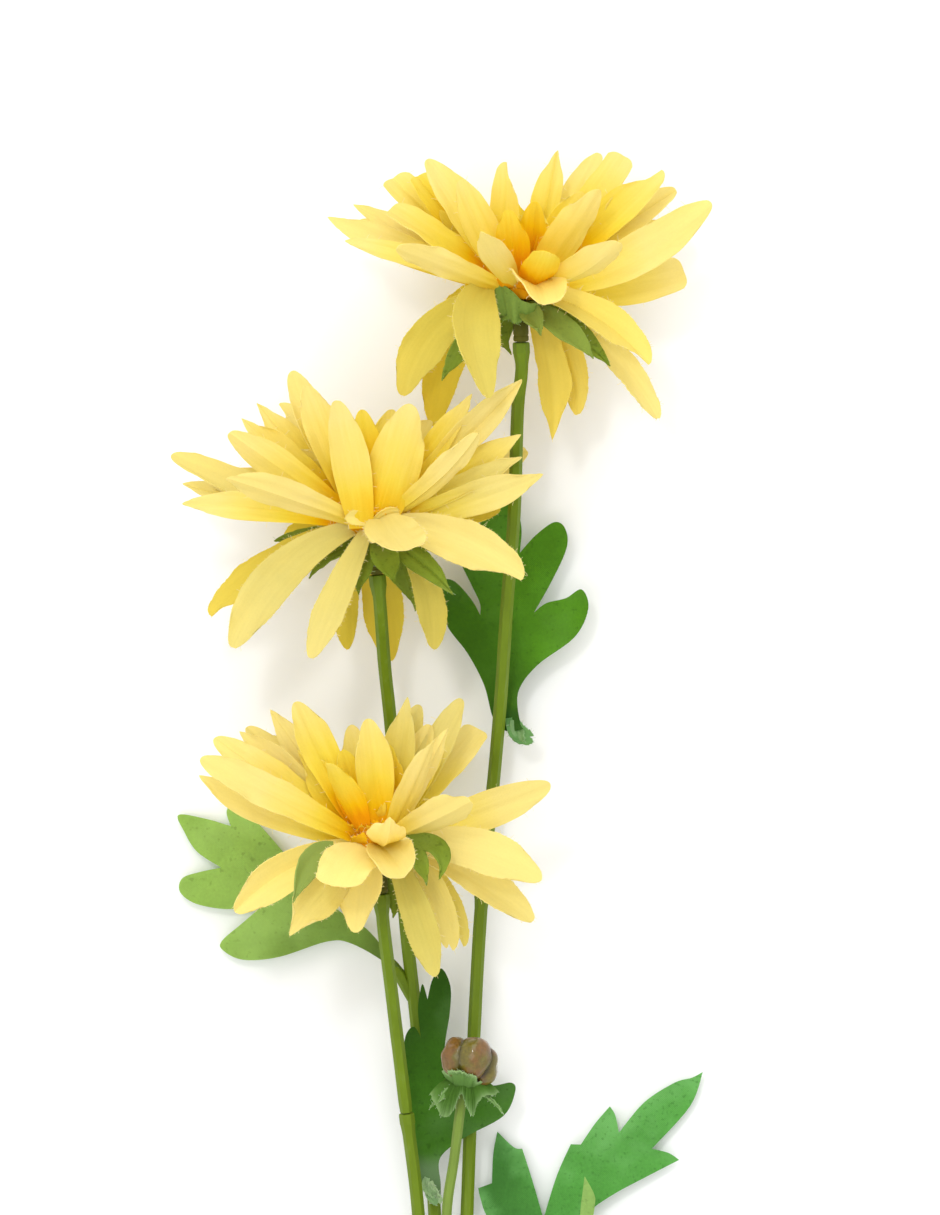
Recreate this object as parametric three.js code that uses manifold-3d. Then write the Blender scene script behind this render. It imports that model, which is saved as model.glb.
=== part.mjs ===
// A cut daisy spray lying on a table: three shaggy yellow blooms, a brown bud and lobed leaves
// on thin branches that plug into one main stem.
// Millimetres, +Z up from the table, +Y from the cut end towards the blooms.
import * as THREE from "three";
import { mergeVertices } from "three/addons/utils/BufferGeometryUtils.js";
import Module from "manifold-3d";

const wasm = await Module();
wasm.setup();

// Driving sizes
const SHEET = 0.7; // thickness of a petal, a sepal or a leaf
const GAP = 0.3; // clearance where one piece sits on another
const PETAL_WIDTH = 9;
const PETAL_CUP = 0.16; // depth of a petal's hollow, as a share of its half width
const SEPAL_WIDTH = 7.6;
const HEART_R = 6; // the knot of petal roots
const HEART_TOP = 5;
const HEART_BOTTOM = -4;
const CALYX_DISC = 1.4;
const CALYX_R = 4.4;
const PEG_R = 1.85;
const PEG_END = -14; // along the bloom's axis, where the peg meets its stem
const PIN_R = 1.1;
const PIN_TOP = 2;
const STEM_R = 1.6;
const BUD_STEM_R = 1.25;
const BUD_LOBES = 5;
const BUD_SEPALS = 6;
const MAIN_R = 2.5;
const COLLAR_R = 2.35;
const COLLAR_LENGTH = 2.6;
const FORK_Y = -130; // where the branches plug into the main stem
const CUT_Y = -190;
const TABLE_DIP = 0.5; // how far a resting tip is pressed flat against the table

const UP = new THREE.Vector3(0, 0, 1);
const v3 = (x, y, z) => new THREE.Vector3(x, y, z);

// The blooms. The heart is where the petals meet, and the axis is the way the bloom faces.
// A posed petal or sepal is [right, up the picture, towards the viewer] from the heart to its
// tip, then its width as a share of the usual one, then how far it arches over its chord.
const BLOOMS = {
  top: {
    heart: v3(18.7, 157.9, 38),
    axis: v3(-0.02, 1, 0.12).normalize(),
    seed: 11,
    petals: [
      [-46, 16, -4, 0.8, -0.02], [-42, 10, 8, 0.62, 0.04], [-40, 18.5, -12, 0.8, 0],
      [-31, 18, 2, 0.9, 0], [-30.5, 25, -14, 1, 0], [-24.5, 26, -9, 0.9, 0], [-22, 30, -3, 1, 0],
      [-14.5, 24.5, 12, 0.9, 0], [-3, 29, 4, 0.85, 0], [9, 32, -8, 0.8, 0],
      [19, 31.5, -16, 0.9, 0], [25, 30.5, -8, 1, 0], [34, 27.5, -5, 1, 0],
      [37.5, 23, -14, 0.9, 0], [46, 19, 10, 1.25, -0.16], [39.5, 3, -8, 1.1, -0.12],
      [18.7, 22, 15, 1.1, 0], [-2.6, 17, 15, 0.9, 0], [23.5, 8.6, 30, 1.1, -0.1],
      [6.5, 7.4, 30, 1, -0.1], [-9.6, 12, 30, 0.8, 0], [-29.6, 8.6, 26, 0.75, 0],
      [-27.6, -27, -2, 1.1, 0.3], [-8, -26, 19, 1.35, 0.26], [-19, -30, -14, 1, 0.2],
      [8.6, -37.5, -9, 1.05, 0.25], [14, -31.5, -14, 0.85, 0.22], [31, -19.6, 10, 0.95, 0.17],
      [32.7, -32.6, -4, 0.75, 0.14], [7.4, -3.4, 23, 1.4, 0.1],
    ],
    back: [
      { lean: 20, from: 215, to: 325, count: 2, length: 20 },
      { lean: 44, from: 200, to: 340, count: 3, length: 27 },
      { lean: 76, from: 205, to: 335, count: 4, length: 45 },
      { lean: 115, from: 240, to: 300, count: 2, length: 42 },
    ],
    sepals: [
      [-1, -17, -11, 1.1, 0.16], [-8, -16, -5, 1, 0.16], [17.6, -18.5, 13, 0.9, 0.1],
      [21.6, -20, 7, 0.9, 0.12], [5, -13, 11, 0.7, 0.16], [-19, -23.5, 5, 0.8, 0.16],
      [2, -8, -19, 1, 0.16],
    ],
  },
  middle: {
    heart: v3(-17, 102, 38),
    axis: v3(-0.1, 1, 0.12).normalize(),
    seed: 23,
    petals: [
      [-48, 14.5, -4, 0.85, -0.05], [-45.4, 7, -14, 0.8, -0.02], [-45.4, 2.6, 4, 0.8, 0.06],
      [-35, 9.4, 26, 0.9, 0.02], [-34, 20, 8, 1, 0], [-31, 23.5, -4, 0.9, 0],
      [-27.5, 27, -12, 0.9, 0], [-22, 27.6, -20, 0.8, 0], [-19.4, 34.5, -10, 0.95, 0],
      [-15.7, 31.3, 0, 1, 0], [-8.2, 27.6, 16, 1, 0], [-2.3, 25.5, 4, 0.9, 0],
      [4.8, 25.5, -14, 0.9, 0], [10, 26.4, 14, 1.05, 0], [24.4, 29.2, 4, 0.7, 0],
      [29.3, 28.3, -4, 0.8, 0], [36.6, 32.7, 6, 0.85, 0], [25.6, 19.7, 20, 0.75, -0.08],
      [36, 19.7, 3, 0.7, 0], [36.6, 13.9, 8, 0.7, -0.03], [41, 10.2, 14, 0.95, -0.06],
      [36, -15.8, 17, 1.25, 0.12], [9, -8.8, 30, 1.5, 0.06], [-33, -31.7, 8, 1.1, 0.23],
      [-38.7, -24, -8, 0.9, 0.14], [-20, -15, -24, 0.7, 0.05], [-14.5, -34, 18, 0.95, 0.13],
      [-5.6, -32, -14, 0.7, 0.15], [4.2, -35, -20, 1.1, 0.1], [15, -32, -2, 0.85, 0.18],
      [37, 15.5, -24, 0.9, 0], [31, 2.5, -18, 0.9, 0],
    ],
    back: [
      { lean: 22, from: 215, to: 325, count: 2, length: 22 },
      { lean: 46, from: 200, to: 320, count: 3, length: 30 },
      { lean: 76, from: 205, to: 300, count: 4, length: 43 },
      { lean: 115, from: 235, to: 265, count: 2, length: 40 },
    ],
    sepals: [
      [-24, -6, -12, 0.6, 0.09], [-15, -15, -4, 0.6, 0.16], [-3, -19, 9, 0.7, 0.16],
      [5.7, -16.6, 13, 0.9, 0.16], [10.5, -23, -6, 1.1, 0.16], [19.5, -18.5, 14.5, 0.85, 0.12],
      [14, -8, -13, 0.9, 0.05],
    ],
  },
  lower: {
    heart: v3(-15.8, 25.4, 42),
    axis: v3(-0.08, 1, 0.14).normalize(),
    seed: 37,
    petals: [
      [-41.8, 18.5, 10, 1, 0], [-42.4, 14.5, 0, 1, -0.06], [-38.7, 23.4, -4, 1, 0],
      [-33, 25, -8, 0.8, 0], [-31, 26.5, -16, 0.8, 0], [-25.6, 30, -12, 0.75, 0],
      [-19.4, 32, -2, 1, 0], [-13.2, 24, -14, 0.7, 0], [-11.2, 17.6, 15, 0.95, 0],
      [-6.3, 26.5, -10, 0.9, 0], [-2, 28, 5, 1, 0], [7.2, 33.2, 0, 0.95, 0],
      [10.2, 31.4, -10, 0.8, 0], [13, 26.5, -6, 0.9, 0], [20.7, 32.6, -6, 0.95, 0],
      [24.6, 25.6, -16, 0.9, 0], [17, 26, 12, 0.7, 0], [13.6, 22.8, 18, 0.7, 0],
      [41.8, 12.1, -2, 1, -0.04], [22.5, 8.1, 28, 0.95, 0], [39.6, -10.6, 12, 1.25, 0.18],
      [37.5, -20.7, 2, 0.95, 0.1], [3.5, 5.2, 32, 1.1, -0.22], [6.5, -9.3, 27, 1.2, 0.1],
      [-9.6, -12, 27, 1.4, 0.15], [-34, -18.2, 0, 1.1, 0.16], [-20.6, -24.3, 16, 1.25, 0.06],
      [-4.5, -23.4, 13, 1.2, 0.06], [14.2, -33.8, 12, 0.9, 0.1], [18, -27.7, 0, 0.75, 0.19],
      [21, -26.8, -6, 0.75, 0.15], [-24, 24, -42, 1, 0.08], [22, 25, -42, 0.9, 0.02],
    ],
    back: [
      { lean: 20, from: 215, to: 325, count: 2, length: 22 },
      { lean: 44, from: 205, to: 335, count: 3, length: 28 },
      { lean: 64, from: 215, to: 305, count: 3, length: 38 },
    ],
    sepals: [
      [-20, -16.3, 9, 0.8, 0.06], [-20, -9.5, -7, 0.75, 0], [4, -20, -5, 1, 0.16],
      [13, -13.5, -1, 0.7, 0.04], [11, -13, 7.5, 0.6, 0.06], [-4, -8, -20, 0.8, 0.16],
    ],
  },
};

// Branch stems, as points on their centre lines from the fork up.
const forkSeat = (x, z) => v3(x, FORK_Y, z);
const stemTop = (bloom) =>
  [-7, 0].map((back) => bloom.heart.clone().addScaledVector(bloom.axis, PEG_END - GAP + back));
const ROUTES = {
  top: [
    forkSeat(3.9, 4.8), v3(6, -65.8, 6.4), v3(7.7, -22.3, 7.2), v3(9.7, 11.8, 8.4),
    v3(12.5, 39.4, 11), v3(14.2, 59.3, 15.4), v3(15.6, 80.6, 20.6), v3(17.3, 102, 26),
    v3(18.3, 129.8, 33), ...stemTop(BLOOMS.top),
  ],
  middle: [
    forkSeat(-0.9, 4.6), v3(-1.8, -65.8, 5.4), v3(-6.2, -19.2, 6.4), v3(-8.4, 0.2, 8.2),
    v3(-10.2, 21.8, 11.4), v3(-12.3, 51.6, 19), v3(-13.8, 66, 25), ...stemTop(BLOOMS.middle),
  ],
  lower: [
    forkSeat(-2.6, 9.2), v3(-5.7, -65.8, 14.5), v3(-8.5, -42.2, 20), v3(-12.3, -10.8, 30),
    ...stemTop(BLOOMS.lower),
  ],
  bud: [
    forkSeat(2.1, 9.4), v3(1.1, -65.8, 15.4), v3(2.9, -52.6, 18.4), v3(4.9, -36.3, 22.5),
  ],
};
const TOP_JOINT = 0.515; // share of the route where the top branch's two lengths meet
const LOWER_JOINT = 0.61;
const BUD_CENTRE = v3(6.45, -29.1, 24.85);

// Leaf outlines, seen from above. Each run is a smooth edge, and the runs meet at sharp points.
// height gives the leaf's level over the table: [at the root, at the far end, arch across].
const LEAVES = {
  upper_leaf: {
    colour: 0x3f8a2b,
    spine: [[15.4, 52], [16.4, 106]],
    height: [10.9, 6.5, -2.2],
    runs: [
      [[14.6, 50.6], [16.4, 50.2], [19.6, 50.9], [18.8, 51.9]],
      [[18.8, 51.9], [18.3, 59.6], [22.9, 66.1], [31.9, 72.9], [35.2, 79.8], [33.6, 84.4],
        [29.8, 82.3], [25.1, 81.1], [22.1, 78.8]],
      [[22.1, 78.8], [26.3, 86.2], [30, 94.4], [29.6, 99.1], [27, 100.6], [22.5, 97.4], [18.7, 93.2]],
      [[18.7, 93.2], [19.1, 99.5], [17.3, 105.5], [13.9, 107.6], [10.5, 105.1], [9, 99.5], [8.8, 93.5]],
      [[8.8, 93.5], [6.6, 96.1], [4.1, 95.2], [4.1, 91.8], [7.1, 85.4], [9.1, 81.1], [9.2, 78.2]],
      [[9.2, 78.2], [7.1, 81.9], [3.2, 86.2], [0.4, 86.6], [-0.3, 83.2], [1.1, 75.9], [6.2, 68.9],
        [10.1, 61.4], [12.2, 53.6], [14.6, 50.6]],
    ],
  },
  left_leaf: {
    colour: 0x84b85c,
    spine: [[-10, -8.6], [-58, 16]],
    height: [7.4, 3.4, 1.8],
    runs: [
      [[-9.35, -10.6], [-13.6, -5.6], [-21.8, -0.9], [-27.7, -0.4], [-39.2, -4.1], [-47.9, -4.8],
        [-52.8, -2.5], [-53, -0.2], [-47.9, 4.2], [-44.7, 7], [-42, 9.3]],
      [[-42, 9.3], [-50.5, 7.4], [-59, 8.6], [-63.1, 11.5], [-62.6, 14.8], [-58.5, 16.3], [-53.2, 17.4]],
      [[-53.2, 17.4], [-59, 21.2], [-62.2, 26.2], [-63.5, 30.1], [-57.1, 29.2], [-50.9, 27.4]],
      [[-50.9, 27.4], [-51.9, 31.1], [-49.3, 33.1], [-44.7, 28.5], [-38.3, 21.2], [-30.9, 12],
        [-24.1, 6.5], [-18.1, 2.6], [-12.4, -4], [-9.4, -8.2], [-9.35, -10.6]],
    ],
  },
  middle_leaf: {
    colour: 0x2f6e2f,
    spine: [[-1.2, -60], [-0.1, -7]],
    height: [7.95, 14.4, -1.6],
    runs: [
      [[-2.2, -62.5], [-5.1, -57.8], [-7.5, -44.8], [-9.3, -30.8], [-8.9, -23.5], [-7, -20.8],
        [-5.4, -22.7], [-5, -24.2]],
      [[-5, -24.2], [-5.8, -17.2], [-5.3, -12.5], [-4.6, -10.6], [-3.5, -14.2]],
      [[-3.5, -14.2], [-2.3, -9.4], [-0.1, -6.8], [2, -11], [1.9, -17.2], [0.6, -26.6], [2.1, -31.8]],
      [[2.1, -31.8], [7.1, -34.4], [12.3, -35], [16.7, -34.3], [17.6, -36.5], [14.9, -42.2],
        [7.1, -46.6], [2.4, -49.5], [-0.7, -53.1], [-0.3, -58.9], [-0.6, -62.5], [-2.2, -62.5]],
    ],
  },
  lower_leaf: {
    colour: 0x479a45,
    spine: [[9, -84], [60, -34]],
    height: [6.6, 3, 2.4],
    runs: [
      [[7.2, -86.6], [15, -83.5], [19.6, -80], [15.9, -73], [10.9, -66.7], [9.3, -62.5], [8.7, -59.8]],
      [[8.7, -59.8], [12, -58.6]],
      [[12, -58.6], [12.3, -51.6], [13.3, -46.2]],
      [[13.3, -46.2], [17.2, -49.9], [19.3, -50.3]],
      [[19.3, -50.3], [21.7, -57.8], [24.4, -67.1]],
      [[24.4, -67.1], [27.6, -56.8], [31, -49.2]],
      [[31, -49.2], [33.4, -49.3]],
      [[33.4, -49.3], [36.8, -44.3], [40.4, -40.1]],
      [[40.4, -40.1], [41.7, -42.2], [42.6, -46.4]],
      [[42.6, -46.4], [48.7, -39.1], [56, -34.4], [60.2, -33.2], [62.8, -31.8]],
      [[62.8, -31.8], [59.7, -40.1], [50.5, -50.3]],
      [[50.5, -50.3], [54.5, -51.3], [57.1, -53]],
      [[57.1, -53], [48.7, -57.3], [40.9, -61.5], [34.7, -66.1], [29.5, -73.4], [25, -80.5],
        [18, -85.5], [8.1, -88.4], [7.2, -86.6]],
    ],
  },
  young_leaf: {
    colour: 0x9cc77c,
    spine: [[28, -75], [34.3, -57]],
    height: [6.5, 12, 0.8],
    runs: [
      [[27.2, -74.6], [32.4, -69.5], [33.5, -63], [34.3, -56.8]],
      [[34.3, -56.8], [36.5, -60.9], [36.8, -63.5], [35.4, -68.5], [29.2, -75.4], [27.2, -74.6]],
    ],
  },
};

// Draws the same numbers between -1 and 1 for the same seed.
function drawer(seed) {
  let state = seed >>> 0;
  return () => {
    state = (Math.imul(state, 1664525) + 1013904223) >>> 0;
    return (state / 4294967296) * 2 - 1;
  };
}

function solid(geometry) {
  const bare = geometry.clone();
  bare.deleteAttribute("normal");
  bare.deleteAttribute("uv");
  const merged = mergeVertices(bare, 1e-4);
  return new wasm.Manifold(
    new wasm.Mesh({
      numProp: 3,
      vertProperties: merged.attributes.position.array,
      triVerts: new Uint32Array(merged.index.array),
    }),
  );
}

function geometryOf(manifold) {
  const mesh = manifold.getMesh();
  const geometry = new THREE.BufferGeometry();
  geometry.setAttribute("position", new THREE.BufferAttribute(mesh.vertProperties, 3));
  geometry.setIndex(new THREE.BufferAttribute(mesh.triVerts, 1));
  geometry.computeVertexNormals();
  return geometry;
}

// A closed skin over rings of points. The second half of each ring lies under the first,
// and is split into triangles the same way, so that a thin twisted blade doesn't cross itself.
function loft(rings, thin = false) {
  const points = rings.flat();
  const count = rings[0].length;
  const triangles = [];
  for (let i = 0; i + 1 < rings.length; i++) {
    for (let j = 0; j < count; j++) {
      const a = i * count + j;
      const b = i * count + ((j + 1) % count);
      if (thin && j >= count / 2) triangles.push([a, b, a + count], [b, b + count, a + count]);
      else triangles.push([a, b, b + count], [a, b + count, a + count]);
    }
  }
  const last = (rings.length - 1) * count;
  const hub = thin ? 1 : 0; // a blade's ends are fanned from the middle of its upper face
  for (let j = 1; j + 1 < count; j++) {
    const p = (hub + j) % count;
    const q = (hub + j + 1) % count;
    triangles.push([hub, q, p], [last + hub, last + p, last + q]);
  }
  const geometry = new THREE.BufferGeometry().setFromPoints(points);
  geometry.setIndex(triangles.flat());
  const made = solid(geometry);
  if (made.volume() > 0) return made;
  geometry.setIndex(triangles.map(([a, b, c]) => [a, c, b]).flat());
  return solid(geometry);
}

// A rod through centre points, with a radius at each.
function rod(centres, radii, sides = 8) {
  const rings = centres.map((centre, i) => {
    const before = centres[Math.max(i - 1, 0)];
    const after = centres[Math.min(i + 1, centres.length - 1)];
    const along = after.clone().sub(before).normalize();
    const across = along.clone().cross(UP).normalize();
    const over = across.clone().cross(along);
    return Array.from({ length: sides }, (_, k) => {
      const angle = (2 * Math.PI * (k + 0.5)) / sides;
      return centre.clone()
        .addScaledVector(across, radii[i] * Math.cos(angle))
        .addScaledVector(over, radii[i] * Math.sin(angle));
    });
  });
  return loft(rings);
}

const join = (parts) => wasm.Manifold.union(parts);

// The outer skin alone, with the small pockets between crossing petals filled.
function filled(manifold) {
  return manifold.decompose().reduce((a, b) => (a.volume() > b.volume() ? a : b));
}

// The shares of a blade's length where it is measured, and of its width there.
const PETAL_STATIONS = [0, 0.34, 0.66, 0.89, 1];
const PETAL_SHAPE = [0.36, 0.82, 1, 0.74, 0.28];
const SHORT_STATIONS = [0, 0.5, 0.86, 1];
const SHORT_SHAPE = [0.36, 1, 0.78, 0.28];
const SHORT_PETAL = 34;
const SEPAL_STATIONS = [0, 0.45, 0.82, 1];
const SEPAL_SHAPE = [0.45, 1, 0.6, 0.14];

// A thin cupped blade. The root, bend and tip set its spine, and face is the way its hollow looks.
function blade({ root, bend, tip, face, width, stations, shape, slant = 0 }) {
  const spine = new THREE.QuadraticBezierCurve3(root, bend, tip);
  const rings = stations.map((share, i) => {
    const end = i === stations.length - 1;
    const centre = spine.getPoint(share);
    const along = spine.getTangent(share);
    const sideways = face.clone().cross(along).normalize();
    const normal = along.clone().cross(sideways);
    const half = (width / 2) * shape[i];
    const edge = (side) =>
      centre.clone()
        .addScaledVector(sideways, side * half)
        .addScaledVector(normal, Math.abs(side) * half * PETAL_CUP)
        .addScaledVector(along, end ? side * slant : 0);
    const upper = [edge(1), edge(0), edge(-1)];
    const shift = normal.clone().multiplyScalar(SHEET / 2);
    return [
      ...upper.map((p) => p.clone().add(shift)),
      ...upper.reverse().map((p) => p.clone().sub(shift)),
    ];
  });
  return loft(rings, true);
}

// Where a tip may go: one that would reach into the table is spread along it at its full length.
function overTable(heart, offset) {
  const lowest = SHEET / 2 - TABLE_DIP - heart.z;
  if (offset.z >= lowest) return offset;
  const flat = Math.hypot(offset.x, offset.y);
  const spread = Math.sqrt(Math.max(offset.lengthSq() - lowest * lowest, 0)) / flat;
  return v3(offset.x * spread, offset.y * spread, lowest);
}

// The part of a direction that lies across another one.
const across = (direction, along) =>
  direction.clone().addScaledVector(along, -direction.dot(along)).normalize();

// One petal or sepal from near the axis to its tip. It springs from the given level on the axis,
// rootR out from it, and its face turns from the bloom's own axis towards the viewer.
function springing(bloom, { offset, level, rootR, width, arch, stations, shape }, draw) {
  const { heart, axis } = bloom;
  const reach = overTable(heart, offset);
  const rise = reach.dot(axis);
  const radial = reach.clone().addScaledVector(axis, -rise).normalize();
  const root = heart.clone().addScaledVector(axis, level).addScaledVector(radial, rootR);
  const tip = heart.clone().add(reach);
  const along = tip.clone().sub(root);
  const length = along.length();
  along.normalize();
  const inner = across(axis, along);
  const bend = root.clone().lerp(tip, 0.5).addScaledVector(inner, arch * length);
  bend.z = Math.max(bend.z, SHEET);
  const viewer = across(UP, along).multiplyScalar(inner.dot(UP) < 0 ? -1 : 1);
  const turn = 0.8 - 0.35 * Math.abs(along.z);
  const face = inner.multiplyScalar(1 - turn).addScaledVector(viewer, turn);
  face.applyAxisAngle(along, 0.3 * draw());
  return blade({ root, bend, tip, face, width, stations, shape, slant: 0.12 * width * draw() });
}

// Petals that spread spring from higher up the heart than petals that hang.
function petal(bloom, [x, y, z, width, arch], draw) {
  const offset = v3(x, y, z);
  const spread = Math.sqrt(1 - (offset.dot(bloom.axis) / offset.length()) ** 2);
  const short = offset.length() < SHORT_PETAL;
  return springing(bloom, {
    offset,
    level: offset.dot(bloom.axis) > 0 ? THREE.MathUtils.lerp(3, -1.4, spread) : -2.2,
    rootR: offset.dot(bloom.axis) > 0 ? 4.2 : 5,
    width: PETAL_WIDTH * width * (1 + 0.06 * draw()),
    arch,
    stations: short ? SHORT_STATIONS : PETAL_STATIONS,
    shape: short ? SHORT_SHAPE : PETAL_SHAPE,
  }, draw);
}

// The tips of the petals behind the ones that were posed, ring by ring.
function backTips(bloom, draw) {
  const { axis, back } = bloom;
  const side = axis.clone().cross(UP).normalize();
  const front = side.clone().cross(axis);
  return back.flatMap((ring) =>
    Array.from({ length: ring.count }, (_, k) => {
      const step = (ring.to - ring.from) / Math.max(ring.count - 1, 1);
      const azimuth = THREE.MathUtils.degToRad(ring.from + step * k + 5 * draw());
      const lean = THREE.MathUtils.degToRad(ring.lean + 6 * draw());
      const tip = v3(0, 0, 0)
        .addScaledVector(side, ring.length * Math.sin(lean) * Math.cos(azimuth))
        .addScaledVector(front, ring.length * Math.sin(lean) * Math.sin(azimuth))
        .addScaledVector(axis, ring.length * Math.cos(lean));
      return [...tip.toArray(), 1, lean > Math.PI / 2 ? 0.25 : 0.06];
    }),
  );
}

const alongAxis = (bloom, level) => bloom.heart.clone().addScaledVector(bloom.axis, level);

// A round piece on the bloom's axis, from pairs of level and radius.
function turned(bloom, profile, sides = 10) {
  return rod(
    profile.map(([level]) => alongAxis(bloom, level)),
    profile.map(([, radius]) => radius),
    sides,
  );
}

const pinHole = (bloom) =>
  turned(bloom, [[HEART_BOTTOM - 4, PIN_R + GAP], [PIN_TOP + GAP, PIN_R + GAP]], 8);

function bloomPetals(bloom) {
  const draw = drawer(bloom.seed);
  const tips = [...bloom.petals, ...backTips(bloom, draw)];
  const heart = turned(bloom, [
    [HEART_BOTTOM, HEART_R * 0.6], [HEART_BOTTOM + 1.6, HEART_R], [1.5, HEART_R * 0.9],
    [HEART_TOP, HEART_R * 0.4],
  ]);
  return join([heart, ...tips.map((tip) => petal(bloom, tip, draw))]).subtract(pinHole(bloom));
}

// A disc under the petals with leafy points that hang round the peg.
function bloomCalyx(bloom) {
  const draw = drawer(bloom.seed + 5);
  const top = HEART_BOTTOM - GAP;
  const disc = turned(bloom, [
    [top, HEART_R * 0.6], [top - 0.5, CALYX_R], [top - CALYX_DISC, CALYX_R * 0.9],
    [top - CALYX_DISC - 2.2, PEG_R + 0.9],
  ]);
  const points = bloom.sepals.map(([x, y, z, width, arch]) =>
    springing(bloom, {
      offset: v3(x, y, z),
      level: top - 1.4,
      rootR: 2.8,
      width: SEPAL_WIDTH * width,
      arch,
      stations: SEPAL_STATIONS,
      shape: SEPAL_SHAPE,
    }, draw),
  );
  return join([disc, ...points]).subtract(pinHole(bloom));
}

// The plastic peg that carries a bloom: a short post with a thin pin through calyx and heart.
function bloomPeg(bloom) {
  const shoulder = HEART_BOTTOM - GAP - CALYX_DISC - 2.2 - GAP; // just under the calyx
  return turned(bloom, [
    [PEG_END, PEG_R], [shoulder, PEG_R], [shoulder + 0.01, PIN_R], [PIN_TOP, PIN_R],
  ]);
}

const RADII = { top: STEM_R, middle: STEM_R, lower: STEM_R, bud: BUD_STEM_R };
const STEM_STEPS = 14;

// A length of a branch between two shares of its route. A collar is a thicker end.
function branch(name, from, to, collars, extra = 0) {
  const route = new THREE.CatmullRomCurve3(ROUTES[name], false, "centripetal");
  const total = route.getLength();
  const shares = new Set([from, to]);
  for (let i = 0; i <= STEM_STEPS; i++) {
    const share = i / STEM_STEPS;
    if (share > from + 0.012 && share < to - 0.03) shares.add(share);
  }
  if (collars.top) {
    shares.add(to - COLLAR_LENGTH / total);
    shares.add(to - (COLLAR_LENGTH + 0.8) / total);
  }
  const ordered = [...shares].sort((a, b) => a - b);
  const radii = ordered.map((share) => {
    const inCollar = collars.top && share >= to - (COLLAR_LENGTH + 0.1) / total;
    return (inCollar ? COLLAR_R : RADII[name]) + extra;
  });
  return rod(ordered.map((share) => route.getPointAt(share)), radii);
}

const routeLength = (name) =>
  new THREE.CatmullRomCurve3(ROUTES[name], false, "centripetal").getLength();

// The main stem: a cut rod that swells into a fork with a socket for each branch.
function mainStem() {
  const centres = [
    v3(1.4, CUT_Y, MAIN_R * 0.94), v3(1.2, -168, MAIN_R * 0.94), v3(0.9, -150, 4.2),
    v3(0.7, FORK_Y - 9, 5.8), v3(0.7, FORK_Y - 3, 6.8), v3(0.7, FORK_Y + 4, 6.9),
  ];
  const radii = [MAIN_R, MAIN_R, MAIN_R, MAIN_R + 1.2, 5.2, 6.8];
  const sockets = Object.keys(ROUTES).map((name) => branch(name, 0, 0.12, {}, GAP));
  return rod(centres, radii, 12).subtract(join(sockets));
}

// A leaf: its outline filled, bent over its spine line, and given its thickness.
function leaf({ runs, spine, height }) {
  const outline = runs.flatMap((run) => {
    const points = run.map(([x, y]) => new THREE.Vector2(x, y));
    const steps = run.length < 3 ? 1 : Math.round((run.length - 1) * 1.6);
    return new THREE.SplineCurve(points).getPoints(steps).slice(0, -1);
  });
  if (THREE.ShapeUtils.isClockWise(outline)) outline.reverse();
  const [rootPoint, farPoint] = spine.map(([x, y]) => new THREE.Vector2(x, y));
  const line = farPoint.clone().sub(rootPoint);
  const [rootHeight, farHeight, arch] = height;
  const level = (p) => {
    const share = p.clone().sub(rootPoint).dot(line) / line.lengthSq();
    const aside = p.clone().sub(rootPoint).cross(line) / line.length();
    return rootHeight + (farHeight - rootHeight) * share - arch * (aside / 20) ** 2;
  };
  const faces = THREE.ShapeUtils.triangulateShape(outline, []);
  const count = outline.length;
  const points = [SHEET / 2, -SHEET / 2].flatMap((shift) =>
    outline.map((p) => v3(p.x, p.y, level(p) + shift)),
  );
  const triangles = faces.flatMap(([a, b, c]) => [
    [a, b, c], [a + count, c + count, b + count],
  ]);
  for (let i = 0; i < count; i++) {
    const next = (i + 1) % count;
    triangles.push([i, i + count, next], [next, i + count, next + count]);
  }
  const geometry = new THREE.BufferGeometry().setFromPoints(points);
  geometry.setIndex(triangles.flat());
  const made = solid(geometry);
  if (made.volume() > 0) return made;
  geometry.setIndex(triangles.map(([a, b, c]) => [a, c, b]).flat());
  return solid(geometry);
}

// The bud: plump lobes pressed together round its middle, longer along the stem.
function bud() {
  const axis = v3(0.1, 1, 0.3).normalize();
  const tilt = new THREE.Quaternion().setFromUnitVectors(v3(0, 1, 0), axis);
  const lobes = Array.from({ length: BUD_LOBES }, (_, k) => {
    const angle = (2 * Math.PI * (k + 0.2)) / BUD_LOBES;
    const place = v3(3.1 * Math.cos(angle), k % 2 ? 0.5 : -0.5, 3.1 * Math.sin(angle));
    const centre = place.applyQuaternion(tilt).add(BUD_CENTRE);
    const lobe = new THREE.SphereGeometry(3.7, 8, 6).scale(1, 1.45, 1).applyQuaternion(tilt);
    return solid(lobe.translate(centre.x, centre.y, centre.z));
  });
  return join(lobes);
}

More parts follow.
